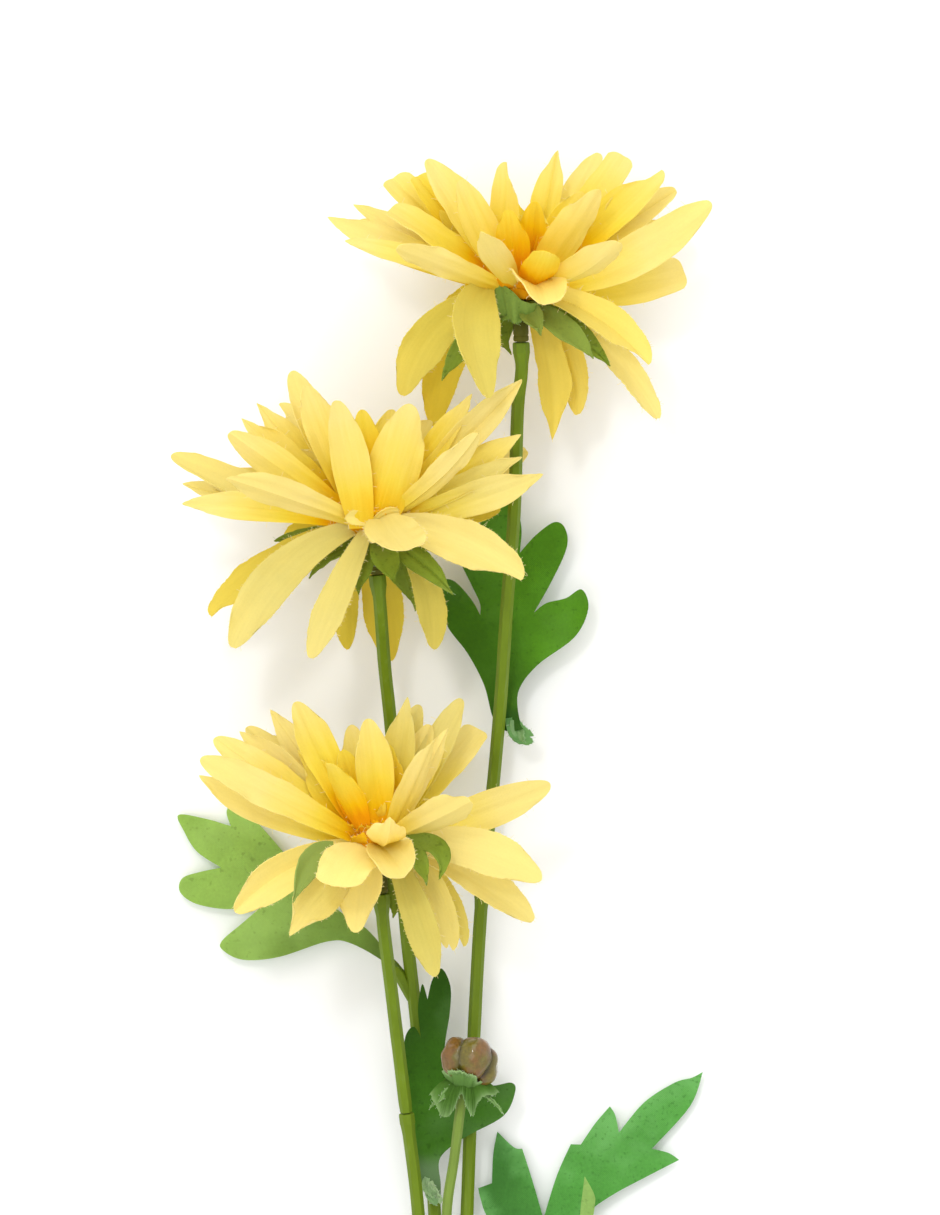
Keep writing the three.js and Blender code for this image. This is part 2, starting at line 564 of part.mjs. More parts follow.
// The bud's calyx: a small cup on the stem with ragged hanging points.
function budCalyx() {
  const seat = v3(5, -35.5, 22.7);
  const axis = v3(0.1, 1, 0.3).normalize();
  const side = axis.clone().cross(UP).normalize();
  const front = side.clone().cross(axis);
  const draw = drawer(71);
  const at = (radial, out, level) =>
    seat.clone().addScaledVector(radial, out).addScaledVector(axis, level);
  const cup = rod([at(axis, 0, -1), at(axis, 0, 0.2), at(axis, 0, 0.7)], [1.9, 3, 3.1]);
  const points = Array.from({ length: BUD_SEPALS }, (_, k) => {
    const azimuth = (2 * Math.PI * k) / BUD_SEPALS + 0.3 + 0.1 * draw();
    const radial = side.clone().multiplyScalar(Math.cos(azimuth))
      .addScaledVector(front, Math.sin(azimuth));
    return blade({
      root: at(radial, 1.7, -0.1),
      bend: at(radial, 6.4, 1.2),
      tip: at(radial, 7.8 + draw(), -5.6 + draw()),
      face: axis,
      width: 5.2,
      stations: [0, 0.5, 1],
      shape: [0.5, 1, 0.5],
    });
  });
  const hole = rod([at(axis, 0, -4), at(axis, 0, 2)], [BUD_STEM_R + GAP, BUD_STEM_R + GAP]);
  return join([cup, ...points]).subtract(hole);
}

// Trims what dips into the table, so resting tips lie on small flat spots.
const underTable = solid(new THREE.BoxGeometry(400, 600, 20).translate(0, 0, -10));

function mesh(name, manifold, colour, roughness = 0.8) {
  const made = new THREE.Mesh(
    geometryOf(filled(manifold.subtract(underTable))),
    new THREE.MeshStandardMaterial({ color: colour, roughness, metalness: 0 }),
  );
  made.name = name;
  return made;
}

const PETAL_YELLOW = 0xfbd84f;
const SEPAL_GREEN = 0x4e7a2c;
const STEM_GREEN = 0x6b8428;
const PEG_GREEN = 0x4c4f25;
const BUD_BROWN = 0x8a5a42;

const spray = new THREE.Group();
for (const [name, bloom] of Object.entries(BLOOMS)) {
  spray.add(mesh(name + "_bloom_petals", bloomPetals(bloom), PETAL_YELLOW, 0.7));
  spray.add(mesh(name + "_bloom_calyx", bloomCalyx(bloom), SEPAL_GREEN));
  spray.add(mesh(name + "_bloom_peg", bloomPeg(bloom), PEG_GREEN, 0.5));
}
// The branches' lengths: their route, and the shares of it where each starts and ends.
const LENGTHS = {
  top_stem_base: { route: "top", from: 0, to: TOP_JOINT },
  top_stem_end: { route: "top", from: TOP_JOINT, to: 1 },
  middle_stem: { route: "middle", from: 0, to: 1 },
  lower_stem_base: { route: "lower", from: 0, to: LOWER_JOINT },
  lower_stem_end: { route: "lower", from: LOWER_JOINT, to: 1 },
  bud_stem: { route: "bud", from: 0, to: 1 },
};
spray.add(mesh("main_stem", mainStem(), STEM_GREEN, 0.5));
for (const [name, { route, from, to }] of Object.entries(LENGTHS)) {
  const seam = GAP / routeLength(route);
  const made = branch(route, from + seam, to, { top: route !== "bud" });
  spray.add(mesh(name, made, STEM_GREEN, 0.5));
}
spray.add(mesh("bud", bud(), BUD_BROWN, 0.45));
spray.add(mesh("bud_calyx", budCalyx(), SEPAL_GREEN));
for (const [name, shape] of Object.entries(LEAVES)) {
  spray.add(mesh(name, leaf(shape), shape.colour));
}

export default spray;
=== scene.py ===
"""Dresses a cut daisy spray: cloth petals, sepals and leaves, ribbed plastic stems and a glossy bud.

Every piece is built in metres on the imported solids, from the same poses as their source, and
replaces the solid it dresses. Lengths in the tables below are millimetres.
"""

import math
from dataclasses import dataclass

import bpy
import numpy as np
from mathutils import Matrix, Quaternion, Vector, geometry, noise


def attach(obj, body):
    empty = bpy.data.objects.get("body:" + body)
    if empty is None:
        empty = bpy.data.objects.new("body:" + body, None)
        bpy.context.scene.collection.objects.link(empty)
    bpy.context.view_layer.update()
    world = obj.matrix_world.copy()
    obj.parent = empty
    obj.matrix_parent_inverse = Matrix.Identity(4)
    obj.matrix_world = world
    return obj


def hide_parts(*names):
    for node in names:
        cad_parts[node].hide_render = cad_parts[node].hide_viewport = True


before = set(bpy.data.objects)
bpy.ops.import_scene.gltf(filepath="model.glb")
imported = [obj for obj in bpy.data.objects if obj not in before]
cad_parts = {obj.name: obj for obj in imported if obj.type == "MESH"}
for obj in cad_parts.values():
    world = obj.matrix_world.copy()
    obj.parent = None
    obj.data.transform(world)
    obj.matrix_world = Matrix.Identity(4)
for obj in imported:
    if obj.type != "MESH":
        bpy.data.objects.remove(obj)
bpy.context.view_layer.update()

bl_info = {
    "name": "Daisy spray dresser",
    "version": (1, 0, 0),
    "blender": (4, 5, 0),
    "location": "3D View > Sidebar > Daisy",
    "description": "Dresses the solids of a cut daisy spray with cloth, plastic and frayed edges",
    "category": "Object",
}

MM = 0.001
UP = Vector((0, 0, 1))
IMAGE_SIZE = (940, 1215)
ORIGIN_PIXEL = (442, 941)  # where the image shows the frame's origin
PIXEL = 0.24  # millimetres a pixel of the image covers at the blooms
BLOOM_LEVEL = 38  # the height over the table at which PIXEL holds
TABLE_REACH = 4000

# How the source places the petals, sepals and stems
PETAL_WIDTH = 9
SEPAL_WIDTH = 7.6
HEART_R = 6
HEART_TOP = 5
HEART_BOTTOM = -4
CALYX_R = 4.4
PEG_R = 1.85
PEG_END = -14
GAP = 0.3
SEPAL_LEVEL = HEART_BOTTOM - GAP - 1.4
STEM_R = 1.6
BUD_STEM_R = 1.25
COLLAR_R = 2.35
COLLAR_LENGTH = 2.6
FORK_Y = -130
CUT_Y = -190
LONG_PETAL = 34
REST_HEIGHT = 0.3  # how high over the table the middle of a resting tip lies
LOWEST_BEND = 0.7
BUD_CENTRE = Vector((6.45, -29.1, 24.85))
BUD_SEAT = Vector((5, -35.5, 22.7))
BUD_AXIS = Vector((0.1, 1, 0.3)).normalized()

# How the finer pieces are shaped
FULL_REACH = 45  # how far from the heart a petal has its outermost colour
CLOTH_LIFT = 0.02  # how far over the table the cloth and the stem are kept
STEM_LIFT = 0.01
CLOTH_CORNER = 50  # edges that turn by more degrees stay sharp
MOULD_CORNER = 38
RIB_CORNER = 14
LEAF_CELL = 1.1  # distance between the points inside a leaf
BUD_SEED = 71

# The knob at a bloom's heart: levels, and radii as shares of the heart's radius
KNOB = [(-4, 0.6), (-3.2, 0.8), (-2.2, 0.9), (0, 0.84), (2.2, 0.7), (3.8, 0.5), (HEART_TOP, 0.2)]

# Rings of torn petals round the knob: level, radius, lean in degrees, length, count
FRILLS = [(-0.8, 4.2, 58, 4.2, 9), (1, 3.6, 40, 5, 7), (2.6, 2.6, 20, 6, 6)]

# How a petal ends: round, pointed, square, stepped back on one side or notched
BY_CHANCE = "."
TIP_CHANCES = {"r": 0.38, "p": 0.2, "s": 0.1, "t": 0.2, "n": 0.12}

# The bud's lobes from its middle: right, along its axis, towards the viewer, radius, stretch
BUD_LOBES = [
    [-3.2, 1.2, 1.2, 3.5, 1.35], [1.1, 1.9, 2.2, 4.1, 1.22], [4.2, -0.5, 0.5, 3, 1.6],
    [-2.4, -0.6, -2.4, 3.4, 1.4], [2.2, -0.2, -2.8, 3.5, 1.4],
]

# Loose strips of the bud's collar from its seat: right, along its axis, towards the viewer, width
FRILL_STRIPS = [[10, -4.4, 2, 0.8], [-7.4, -5.2, 2, 1], [-5.6, -2.8, 4, 1.6]]

# A petal or sepal is [right, up the picture, towards the viewer] from the heart to its tip,
# then its width as a share of the usual one, then how far it arches over its chord. Rings of
# petals behind the others are [lean, first azimuth, last azimuth, count, length], in degrees.
# Tips has a letter for each petal. Entries by number are for single blades: sways shift its root,
# bend and tip, faces turn it, feet widen its root, hues make it more or less golden, dulls paint
# shade on it (painted light where below nought) and depths set how deep its painted shade is, and
# light_sepals make a sepal paler. Pale makes all petals of a bloom paler. A scrap has its root,
# bend and tip from the heart, then its width. The drape has its first and last azimuth, its levels
# there and its hem's level.
BLOOMS = {
    "top": {
        "heart": Vector((18.7, 157.9, 38)),
        "axis": Vector((-0.02, 1, 0.12)).normalized(),
        "seed": 11,
        "sways": {
            23: ((-6.5, 1.5, 0), (-7, 2, 3), (1, -1.5, 0)),
            24: ((0, 0, 0), (-3, -1, 0), (-1.5, -4.5, 0)),
            25: ((-3, 0, 0), (-5, 0, 0), (-0.5, 0, 0)), 26: ((-1, 0, 0), (-1.5, 0, 0), (0, 0, 0)),
            29: ((1, 1, 0), (0, 3.6, 0), (-1.6, -1.6, 0)),
        },
        "faces": {29: (0, 0.85, 0.5)},
        "sepal_sways": {0: ((-2, 1, 2), (-7, 1, 3), (-1, 0, 0))},
        "light_sepals": {2: 0.6, 4: 0.6},
        "pale": 0,
        "painted_shading": {22: 0.5, 23: 0.5, 24: 0.3, 25: 0, 26: 0.1, 27: 0, 28: 0, 29: -0.5},
        "painted_shade_depths": {22: 0.5, 25: 0.6, 26: 0.6, 28: 0.3},
        "hues": {4: 1, 5: 2, 8: -1, 10: -0.6, 12: 1.4, 14: -1, 17: 1.6, 18: 0, 19: 2.4, 20: -1.6,
                 21: -0.8, 29: -1},
        "drape": (152, 42, 0.4, -4.4, -8.2),
        "tips": "pppsssr.tprstrrsrrrrp.rrrp.trs",
        "petals": [
            [-46, 16, -4, 0.8, -0.02], [-42, 10, 8, 0.62, 0.04], [-40, 18.5, -12, 0.8, 0],
            [-31, 18, 2, 0.9, 0], [-30.5, 25, -14, 1, 0], [-24.5, 26, -9, 0.9, 0], [-22, 30, -3, 1, 0],
            [-14.5, 24.5, 12, 0.9, 0], [-3, 29, 4, 0.85, 0], [9, 32, -8, 0.8, 0],
            [19, 31.5, -16, 0.9, 0], [25, 30.5, -8, 1, 0], [34, 27.5, -5, 1, 0],
            [37.5, 23, -14, 0.9, 0], [46, 19, 10, 1.25, -0.16], [39.5, 3, -8, 1.1, -0.12],
            [18.7, 22, 15, 1.1, 0], [-2.6, 17, 15, 0.9, 0], [23.5, 8.6, 30, 1.1, -0.1],
            [6.5, 7.4, 30, 1, -0.1], [-9.6, 12, 30, 0.8, 0], [-29.6, 8.6, 26, 0.75, 0],
            [-27.6, -27, -2, 1.1, 0.3], [-8, -26, 19, 1.35, 0.26], [-19, -30, -14, 1, 0.2],
            [8.6, -37.5, -9, 1.05, 0.25], [14, -31.5, -14, 0.85, 0.22], [31, -19.6, 10, 0.95, 0.17],
            [32.7, -32.6, -4, 0.75, 0.14], [7.4, -3.4, 23, 1.4, 0.1],
        ],
        "back": [[20, 215, 325, 2, 20], [44, 200, 340, 3, 27], [76, 205, 335, 4, 45],
            [115, 240, 300, 2, 42]],
        "sepals": [
            [-1, -17, -11, 1.1, 0.16], [-8, -16, -5, 1, 0.16], [17.6, -18.5, 13, 0.9, 0.1],
            [21.6, -20, 7, 0.9, 0.12], [5, -13, 11, 0.7, 0.16], [-19, -23.5, 5, 0.8, 0.16],
            [2, -8, -19, 1, 0.16],
        ],
    },
    "middle": {
        "heart": Vector((-17, 102, 38)),
        "axis": Vector((-0.1, 1, 0.12)).normalized(),
        "seed": 23,
        "sways": {
            10: ((-0.6, -3.4, 2.6), (0, -1, 1.2), (0, 0, 0)),
            13: ((-1.6, -3.4, 2.6), (-0.8, -1, 1.2), (0, 0, 0)),
            22: ((0.4, 2, 1.2), (0, 0.6, 0.8), (0, 0, 0)), 26: ((2, 0, 0), (4, 0, 0), (0, 0, 0)),
        },
        "pale": 0.3,
        "painted_shading": {0: 0.35, 1: 0.15, 19: 0.35, 20: 0.2, 21: 0, 22: 0, 23: 0.45, 24: 0.4, 26: 0.4,
                  27: 0.5, 28: 0.5, 29: 0.65},
        "feet": {10: 0.6, 13: 0.55},
        "scraps": [
            [(-0.3, -1.4, 6.2), (-3.4, 0.2, 7.8), (-6.2, -0.7, 6.6), 3.6],
            [(1.4, -1.2, 6), (4, 1, 7.4), (6.8, 0.8, 6.2), 3],
        ],
        "hues": {0: -0.6, 3: -1.4, 10: -0.2, 13: 0.2, 17: -0.6, 20: -0.8, 21: -1, 22: -1},
        "tips": "rppprpp.r.rrrrppprppptsrt.r.rr",
        "petals": [
            [-48, 14.5, -4, 0.85, -0.05], [-45.4, 7, -14, 0.8, -0.02], [-45.4, 2.6, 4, 0.8, 0.06],
            [-35, 9.4, 26, 0.9, 0.02], [-34, 20, 8, 1, 0], [-31, 23.5, -4, 0.9, 0],
            [-27.5, 27, -12, 0.9, 0], [-22, 27.6, -20, 0.8, 0], [-19.4, 34.5, -10, 0.95, 0],
            [-15.7, 31.3, 0, 1, 0], [-8.2, 27.6, 16, 1.12, 0], [-2.3, 25.5, 4, 0.9, 0],
            [4.8, 25.5, -14, 0.9, 0], [10, 26.4, 14, 1.38, 0], [24.4, 29.2, 4, 0.7, 0],
            [29.3, 28.3, -4, 0.8, 0], [36.6, 32.7, 6, 0.85, 0], [25.6, 19.7, 20, 0.75, -0.08],
            [36, 19.7, 3, 0.7, 0], [36.6, 13.9, 8, 0.7, -0.03], [41, 10.2, 14, 0.95, -0.06],
            [36, -15.8, 17, 1.25, 0.12], [9, -8.8, 30, 1.5, 0.06], [-33, -31.7, 8, 1.1, 0.23],
            [-38.7, -24, -8, 0.9, 0.14], [-20, -15, -24, 0.7, 0.05], [-14.5, -34, 18, 0.95, 0.13],
            [-5.6, -32, -14, 0.7, 0.15], [4.2, -35, -20, 1.1, 0.1], [15, -32, -2, 0.85, 0.18],
            [37, 15.5, -24, 0.9, 0], [31, 2.5, -18, 0.9, 0],
        ],
        "back": [[22, 215, 325, 2, 22], [46, 200, 320, 3, 30], [76, 205, 300, 4, 43],
            [115, 235, 265, 2, 40]],
        "sepals": [
            [-24, -6, -12, 0.6, 0.09], [-15, -15, -4, 0.6, 0.16], [-3, -19, 9, 0.7, 0.16],
            [5.7, -16.6, 13, 0.9, 0.16], [10.5, -23, -6, 1.1, 0.16], [19.5, -18.5, 14.5, 0.85, 0.12],
            [14, -8, -13, 0.9, 0.05],
        ],
    },
    "lower": {
        "heart": Vector((-15.8, 25.4, 42)),
        "axis": Vector((-0.08, 1, 0.14)).normalized(),
        "seed": 37,
        "light_sepals": {0: 1.6},
        "sepal_sways": {
            0: ((-8, 3, 9), (-5, 6, 10), (0, 0, 10)), 3: ((3, 4, 7), (10, 9, 16), (2, 3, 16)),
            4: ((4.5, 3, 5), (4, 5, 9), (1, 1, 8.5)),
        },
        "pale": 0.8,
        "painted_shading": {2: -0.2, 11: 0.3, 12: 0.3, 14: 0.35, 16: -0.2, 20: 0, 21: 0.1, 22: -0.5, 23: -0.1,
                  24: -0.4, 25: -0.2, 26: 0.1, 27: -0.2, 28: 0.7, 29: 0.1, 30: 0.3},
        "painted_shade_depths": {21: 0.3, 25: 0.3, 29: 0.35, 30: 0.5},
        "hues": {0: -0.6, 1: -1, 6: 1, 8: 2, 10: -0.4, 14: -0.6, 16: -1.4, 17: -0.6, 19: -1,
                 22: -1.6, 23: -1, 24: -1},
        "tips": "rprprprtrrrprrrspprrrrpssrp.r",
        "petals": [
            [-41.8, 18.5, 10, 1, 0], [-42.4, 14.5, 0, 1, -0.06], [-38.7, 23.4, -4, 1, 0],
            [-33, 25, -8, 0.8, 0], [-31, 26.5, -16, 0.8, 0], [-25.6, 30, -12, 0.75, 0],
            [-19.4, 32, -2, 1, 0], [-13.2, 24, -14, 0.7, 0], [-11.2, 17.6, 15, 0.95, 0],
            [-6.3, 26.5, -10, 0.9, 0], [-2, 28, 5, 1, 0], [7.2, 33.2, 0, 0.95, 0],
            [10.2, 31.4, -10, 0.8, 0], [13, 26.5, -6, 0.9, 0], [20.7, 32.6, -6, 0.95, 0],
            [24.6, 25.6, -16, 0.9, 0], [17, 26, 12, 0.7, 0], [13.6, 22.8, 18, 0.7, 0],
            [41.8, 12.1, -2, 1, -0.04], [22.5, 8.1, 28, 0.95, 0], [39.6, -10.6, 12, 1.25, 0.18],
            [37.5, -20.7, 2, 0.95, 0.1], [3.5, 5.2, 32, 1.1, -0.22], [6.5, -9.3, 27, 1.2, 0.1],
            [-9.6, -12, 27, 1.4, 0.15], [-34, -18.2, 0, 1.1, 0.16], [-20.6, -24.3, 16, 1.25, 0.06],
            [-4.5, -23.4, 13, 1.2, 0.06], [14.2, -33.8, 12, 0.9, 0.1], [18, -27.7, 0, 0.75, 0.19],
            [21, -26.8, -6, 0.75, 0.15], [-24, 24, -42, 1, 0.08], [22, 25, -42, 0.9, 0.02],
        ],
        "back": [[20, 215, 325, 2, 22], [44, 205, 335, 3, 28], [64, 215, 305, 3, 38]],
        "sepals": [
            [-20, -16.3, 9, 0.8, 0.06], [-20, -9.5, -7, 0.75, 0], [4, -20, -5, 1, 0.16],
            [13, -13.5, -1, 0.7, 0.04], [11, -13, 7.5, 0.6, 0.06], [-4, -8, -20, 0.8, 0.16],
        ],
    },
}


def fork_seat(x, z):
    return Vector((x, FORK_Y, z))


def stem_top(bloom):
    """The last straight stretch of a stem, on the bloom's own axis."""
    return [bloom["heart"] + bloom["axis"] * (PEG_END - GAP + back) for back in (-7, 0)]


def places(rows):
    return [Vector(row) for row in rows]


# The middle lines of the stems, from the fork up to their blooms and the bud
ROUTES = {
    "top": [fork_seat(3.9, 4.8)] + places([
        (6, -65.8, 6.4), (7.7, -22.3, 7.2), (9.7, 11.8, 8.4), (12.5, 39.4, 11),
        (14.2, 59.3, 15.4), (15.6, 80.6, 20.6), (17.3, 102, 26), (18.3, 129.8, 33),
    ]) + stem_top(BLOOMS["top"]),
    "middle": [fork_seat(-0.9, 4.6)] + places([
        (-1.8, -65.8, 5.4), (-6.2, -19.2, 6.4), (-8.4, 0.2, 8.2), (-10.2, 21.8, 11.4),
        (-12.3, 51.6, 19), (-13.8, 66, 25),
    ]) + stem_top(BLOOMS["middle"]),
    "lower": [fork_seat(-2.6, 9.2)] + places([
        (-5.7, -65.8, 14.5), (-8.5, -42.2, 20), (-12.3, -10.8, 30),
    ]) + stem_top(BLOOMS["lower"]),
    "bud": [fork_seat(2.1, 9.4)] + places([
        (1.1, -65.8, 15.4), (2.9, -52.6, 18.4), (4.9, -36.3, 22.5),
    ]),
}

# The foot of the left leaf, down to where it meets the middle stem
STALK = [
    (-13.4, -3.8, 6.4), (-11.7, -6.2, 6.9), (-9.9, -8.8, 7.1), (-8.5, -11.6, 6.9),
    (-7.6, -14.4, 6.6),
]

STALK_SWELL = [0.55, 0.9, 1.1, 1, 0.6]

# Each branch: its route, the shares of it where it starts and ends, and its radius.
BRANCHES = {
    "top_stem_base": {"route": "top", "from": 0, "to": 0.515, "radius": STEM_R},
    "top_stem_end": {"route": "top", "from": 0.515, "to": 1, "radius": STEM_R},
    "middle_stem": {"route": "middle", "from": 0, "to": 1, "radius": STEM_R},
    "lower_stem_base": {"route": "lower", "from": 0, "to": 0.61, "radius": STEM_R},
    "lower_stem_end": {"route": "lower", "from": 0.61, "to": 1, "radius": STEM_R},
    "bud_stem": {"route": "bud", "from": 0, "to": 1, "radius": BUD_STEM_R},
}

# The main stem's middle and half width: up the picture, right, towards the viewer, radius
MAIN_R = 2.5
MAIN_STEM = [
    (CUT_Y, 1.4, 2.35, 2.2), (CUT_Y + 0.4, 1.4, 2.35, 2.5), (-178, 1.3, 2.4, 2.5),
    (-168, 1.2, 2.5, 2.5), (-158, 1.05, 3.2, 2.55), (-150, 0.9, 4.2, 2.7),
    (FORK_Y - 14, 0.75, 5.1, 3.1), (FORK_Y - 9, 0.7, 5.8, 3.7), (FORK_Y - 6, 0.7, 6.3, 4.4),
    (FORK_Y - 3, 0.7, 6.8, 5.2), (FORK_Y, 0.7, 6.85, 6), (FORK_Y + 3, 0.7, 6.9, 6.5),
    (FORK_Y + 3.7, 0.7, 6.9, 6.6), (FORK_Y + 4, 0.7, 6.9, 6.2),
]

# The sleeve round each branch at the fork: distances along it, and shares of its radius
SLEEVE = {"at": [3.2, 3.6, 5.2, 6.3, 6.6], "swell": [1.5, 1.5, 1.45, 1.3, 1.05]}

# Leaves seen from above. Each run is a smooth edge that starts where the one before it ends, and
# the runs meet at sharp points. height is [at the root, at the far end, arch across]. A vein is
# [the share of the spine where it leaves it, then the point in a lobe where it ends]. shade is
# painted shade: darkest at its first point, and none from its second point on. fold is the share
# of the spine that is folded at the root, dull the fold's colour, glow how much light passes
# through, pale how strong the paler patches are, and speckled how many dark specks there are.
LEAVES = {
    "upper_leaf": {
        "slot": "leaf",
        "fold": 0.1,
        "glow": 0.14,
        "pale": 0.16,
        "dull": (0.04, 0.12, 0.02),
        "shade": [[2, 74], [24, 84]],
        "spine": [[15.4, 52], [16.4, 106]],
        "height": [10.9, 6.5, -2.2],
        "veins": [[0.3, 33.5, 79], [0.55, 28.3, 98.5], [0.55, 5, 94], [0.3, 1, 85]],
        "runs": [
            [[16.4, 50.2], [19.6, 50.9], [18.8, 51.9]],
            [[18.3, 59.6], [22.9, 66.1], [31.9, 72.9], [35.2, 79.8], [33.6, 84.4], [29.8, 82.3],
             [25.1, 81.1], [22.1, 78.8]],
            [[26.3, 86.2], [30, 94.4], [29.6, 99.1], [27, 100.6], [22.5, 97.4], [18.7, 93.2]],
            [[19.1, 99.5], [17.3, 105.5], [13.9, 107.6], [10.5, 105.1], [9, 99.5], [8.8, 93.5]],
            [[6.6, 96.1], [4.1, 95.2], [4.1, 91.8], [7.1, 85.4], [9.1, 81.1], [9.2, 78.2]],
            [[7.1, 81.9], [3.2, 86.2], [0.4, 86.6], [-0.3, 83.2], [1.1, 75.9], [6.2, 68.9],
             [10.1, 61.4], [12.2, 53.6], [14.6, 50.6]],
        ],
    },
    "left_leaf": {
        "slot": "light_leaf",
        "fold": 0.3,
        "glow": 0.3,
        "pale": 0.35,
        "dull": (0.10, 0.14, 0.03),
        "shade": [[-20, -6], [-50, 24]],
        "spine": [[-10, -8.6], [-58, 16]],
        "height": [7.4, 3.4, 1.8],
        "veins": [[0.35, -50, -2.5], [0.6, -60, 29], [0.45, -49, 30]],
        "runs": [
            [[-13.6, -5.6], [-21.8, -0.9], [-27.7, -0.4], [-39.2, -4.1], [-47.9, -4.8], [-52.8, -2.5],
             [-53, -0.2], [-47.9, 4.2], [-44.7, 7], [-42, 9.3]],
            [[-50.5, 7.4], [-59, 8.6], [-63.1, 11.5], [-62.6, 14.8], [-58.5, 16.3], [-53.2, 17.4]],
            [[-59, 21.2], [-62.2, 26.2], [-63.5, 30.1], [-57.1, 29.2], [-50.9, 27.4]],
            [[-51.9, 31.1], [-49.3, 33.1], [-44.7, 28.5], [-38.3, 21.2], [-30.9, 12], [-24.1, 6.5],
             [-18.1, 2.6], [-12.4, -4], [-9.4, -8.2], [-9.35, -10.6]],
        ],
    },
    "middle_leaf": {
        "slot": "dark_leaf",
        "fold": 0.2,
        "glow": 0.12,
        "pale": 0.35,
        "dull": (0.16, 0.26, 0.12),
        "shade": [[0, -14], [8, -36]],
        "spine": [[-1.2, -60], [-0.1, -7]],
        "height": [7.95, 14.4, -1.6],
        "veins": [[0.35, 16, -36], [0.45, -7.5, -23], [0.7, -4.8, -12]],
        "runs": [
            [[-5.1, -57.8], [-7.5, -44.8], [-9.3, -30.8], [-8.9, -23.5], [-7, -20.8], [-5.4, -22.7],
             [-5, -24.2]],
            [[-5.8, -17.2], [-5.3, -12.5], [-4.6, -10.6], [-3.5, -14.2]],
            [[-2.3, -9.4], [-0.1, -6.8], [2, -11], [1.9, -17.2], [0.6, -26.6], [2.1, -31.8]],
            [[7.1, -34.4], [12.3, -35], [16.7, -34.3], [17.6, -36.5], [14.9, -42.2], [7.1, -46.6],
             [2.4, -49.5], [-0.7, -53.1], [-0.3, -58.9], [-0.6, -62.5], [-2.2, -62.5]],
        ],
    },
    "lower_leaf": {
        "slot": "bright_leaf",
        "fold": 0.12,
        "glow": 0.16,
        "pale": 0.7,
        "speckled": 0.75,
        "dull": (0.05, 0.14, 0.03),
        "shade": [[14, -60], [34, -56]],
        "spine": [[9, -84], [60, -34]],
        "height": [6.6, 3, 2.4],
        "veins": [[0.2, 13, -47], [0.5, 38, -43], [0.6, 54, -51.5]],
        "runs": [
            [[15, -83.5], [19.6, -80], [15.9, -73], [10.9, -66.7], [9.3, -62.5], [8.7, -59.8]],
            [[12, -58.6]],
            [[12.3, -51.6], [13.3, -46.2]],
            [[17.2, -49.9], [19.3, -50.3]],
            [[21.7, -57.8], [24.4, -67.1]],
            [[27.6, -56.8], [31, -49.2]],
            [[33.4, -49.3]],
            [[36.8, -44.3], [40.4, -40.1]],
            [[41.7, -42.2], [42.6, -46.4]],
            [[48.7, -39.1], [56, -34.4], [60.2, -33.2], [62.8, -31.8]],
            [[59.7, -40.1], [50.5, -50.3]],
            [[54.5, -51.3], [57.1, -53]],
            [[48.7, -57.3], [40.9, -61.5], [34.7, -66.1], [29.5, -73.4], [25, -80.5], [18, -85.5],
             [8.1, -88.4], [7.2, -86.6]],
        ],
    },
    "young_leaf": {
        "slot": "pale_leaf",
        "fold": 0.3,
        "glow": 0.35,
        "pale": 0.3,
        "dull": (0.12, 0.2, 0.05),
        "shade": [[30, -90], [31, -74]],
        "spine": [[28, -75], [34.3, -57]],
        "height": [6.5, 12, 0.8],
        "veins": [],
        "runs": [
            [[32.4, -69.5], [33.5, -63], [34.3, -56.8]],
            [[36.5, -60.9], [36.8, -63.5], [35.4, -68.5], [29.2, -75.4], [27.2, -74.6]],
        ],
    },
}

# Scraps of cloth stuck at the foot of a leaf: root, bend, tip, width and how green each one is
TABS = {
    "upper_leaf": [
        [(16.6, 53.6, 11.4), (17.6, 49, 12.4), (22, 48.2, 11.8), 4.2, 1],
        [(17.4, 53, 11.6), (18, 50.4, 12.6), (18.6, 47.6, 12.2), 3.2, 0.6],
    ],
    "middle_leaf": [
        [(-3.6, -57.2, 9.6), (-4.6, -60, 11.4), (-1.4, -61.4, 11), 2, 0.4],
        [(-2.8, -58.4, 9.8), (-2.2, -60.8, 12.2), (-0.2, -63, 10.8), 1.7, 0],
        [(-3.8, -60.4, 10.2), (-2.8, -62, 12), (-1.2, -63.6, 11), 1.6, 0.6],
    ],
}


# Settings

def length_setting(name, description, default):
    return bpy.props.FloatProperty(
        name=name, description=description, default=default, subtype="DISTANCE", unit="LENGTH"
    )


def colour_setting(name, description, default):
    return bpy.props.FloatVectorProperty(
        name=name, description=description, default=default, subtype="COLOR", size=3,
        min=0, max=1,
    )


def share_setting(name, description, default):
    return bpy.props.FloatProperty(
        name=name, description=description, default=default, min=0, max=1, subtype="FACTOR"
    )


class PetalSettings(bpy.types.PropertyGroup):
    """Sizes and colours of the yellow petals."""

    cloth: length_setting("Cloth", "Thickness of the petal cloth", 0.26 * MM)
    ruffle: length_setting("Ruffle", "How far a petal's edges wave", 0.45 * MM)
    crease: length_setting("Crease", "Depth of the pressed lines along a petal", 0.2 * MM)
    thread_gap: length_setting("Thread gap", "Distance between loose threads on an edge", 2.6 * MM)
    thread_length: length_setting("Thread length", "Length of a loose thread", 1.1 * MM)
    fringe_gap: length_setting("Fringe gap", "Distance between frayed ends on a torn edge", 0.5 * MM)
    fringe_length: length_setting("Fringe length", "Length of a torn edge's frayed ends", 0.5 * MM)
    glow: share_setting("Glow", "Share of the light that passes through the cloth", 0.36)
    lemon: colour_setting("Lemon", "Outer half of a petal", (0.95, 0.835, 0.335))
    yellow: colour_setting("Yellow", "Middle of a petal", (0.95, 0.79, 0.095))
    gold: colour_setting("Gold", "Inner third of a petal", (0.96, 0.63, 0.008))
    orange: colour_setting("Orange", "Roots of the petals", (0.95, 0.40, 0.005))


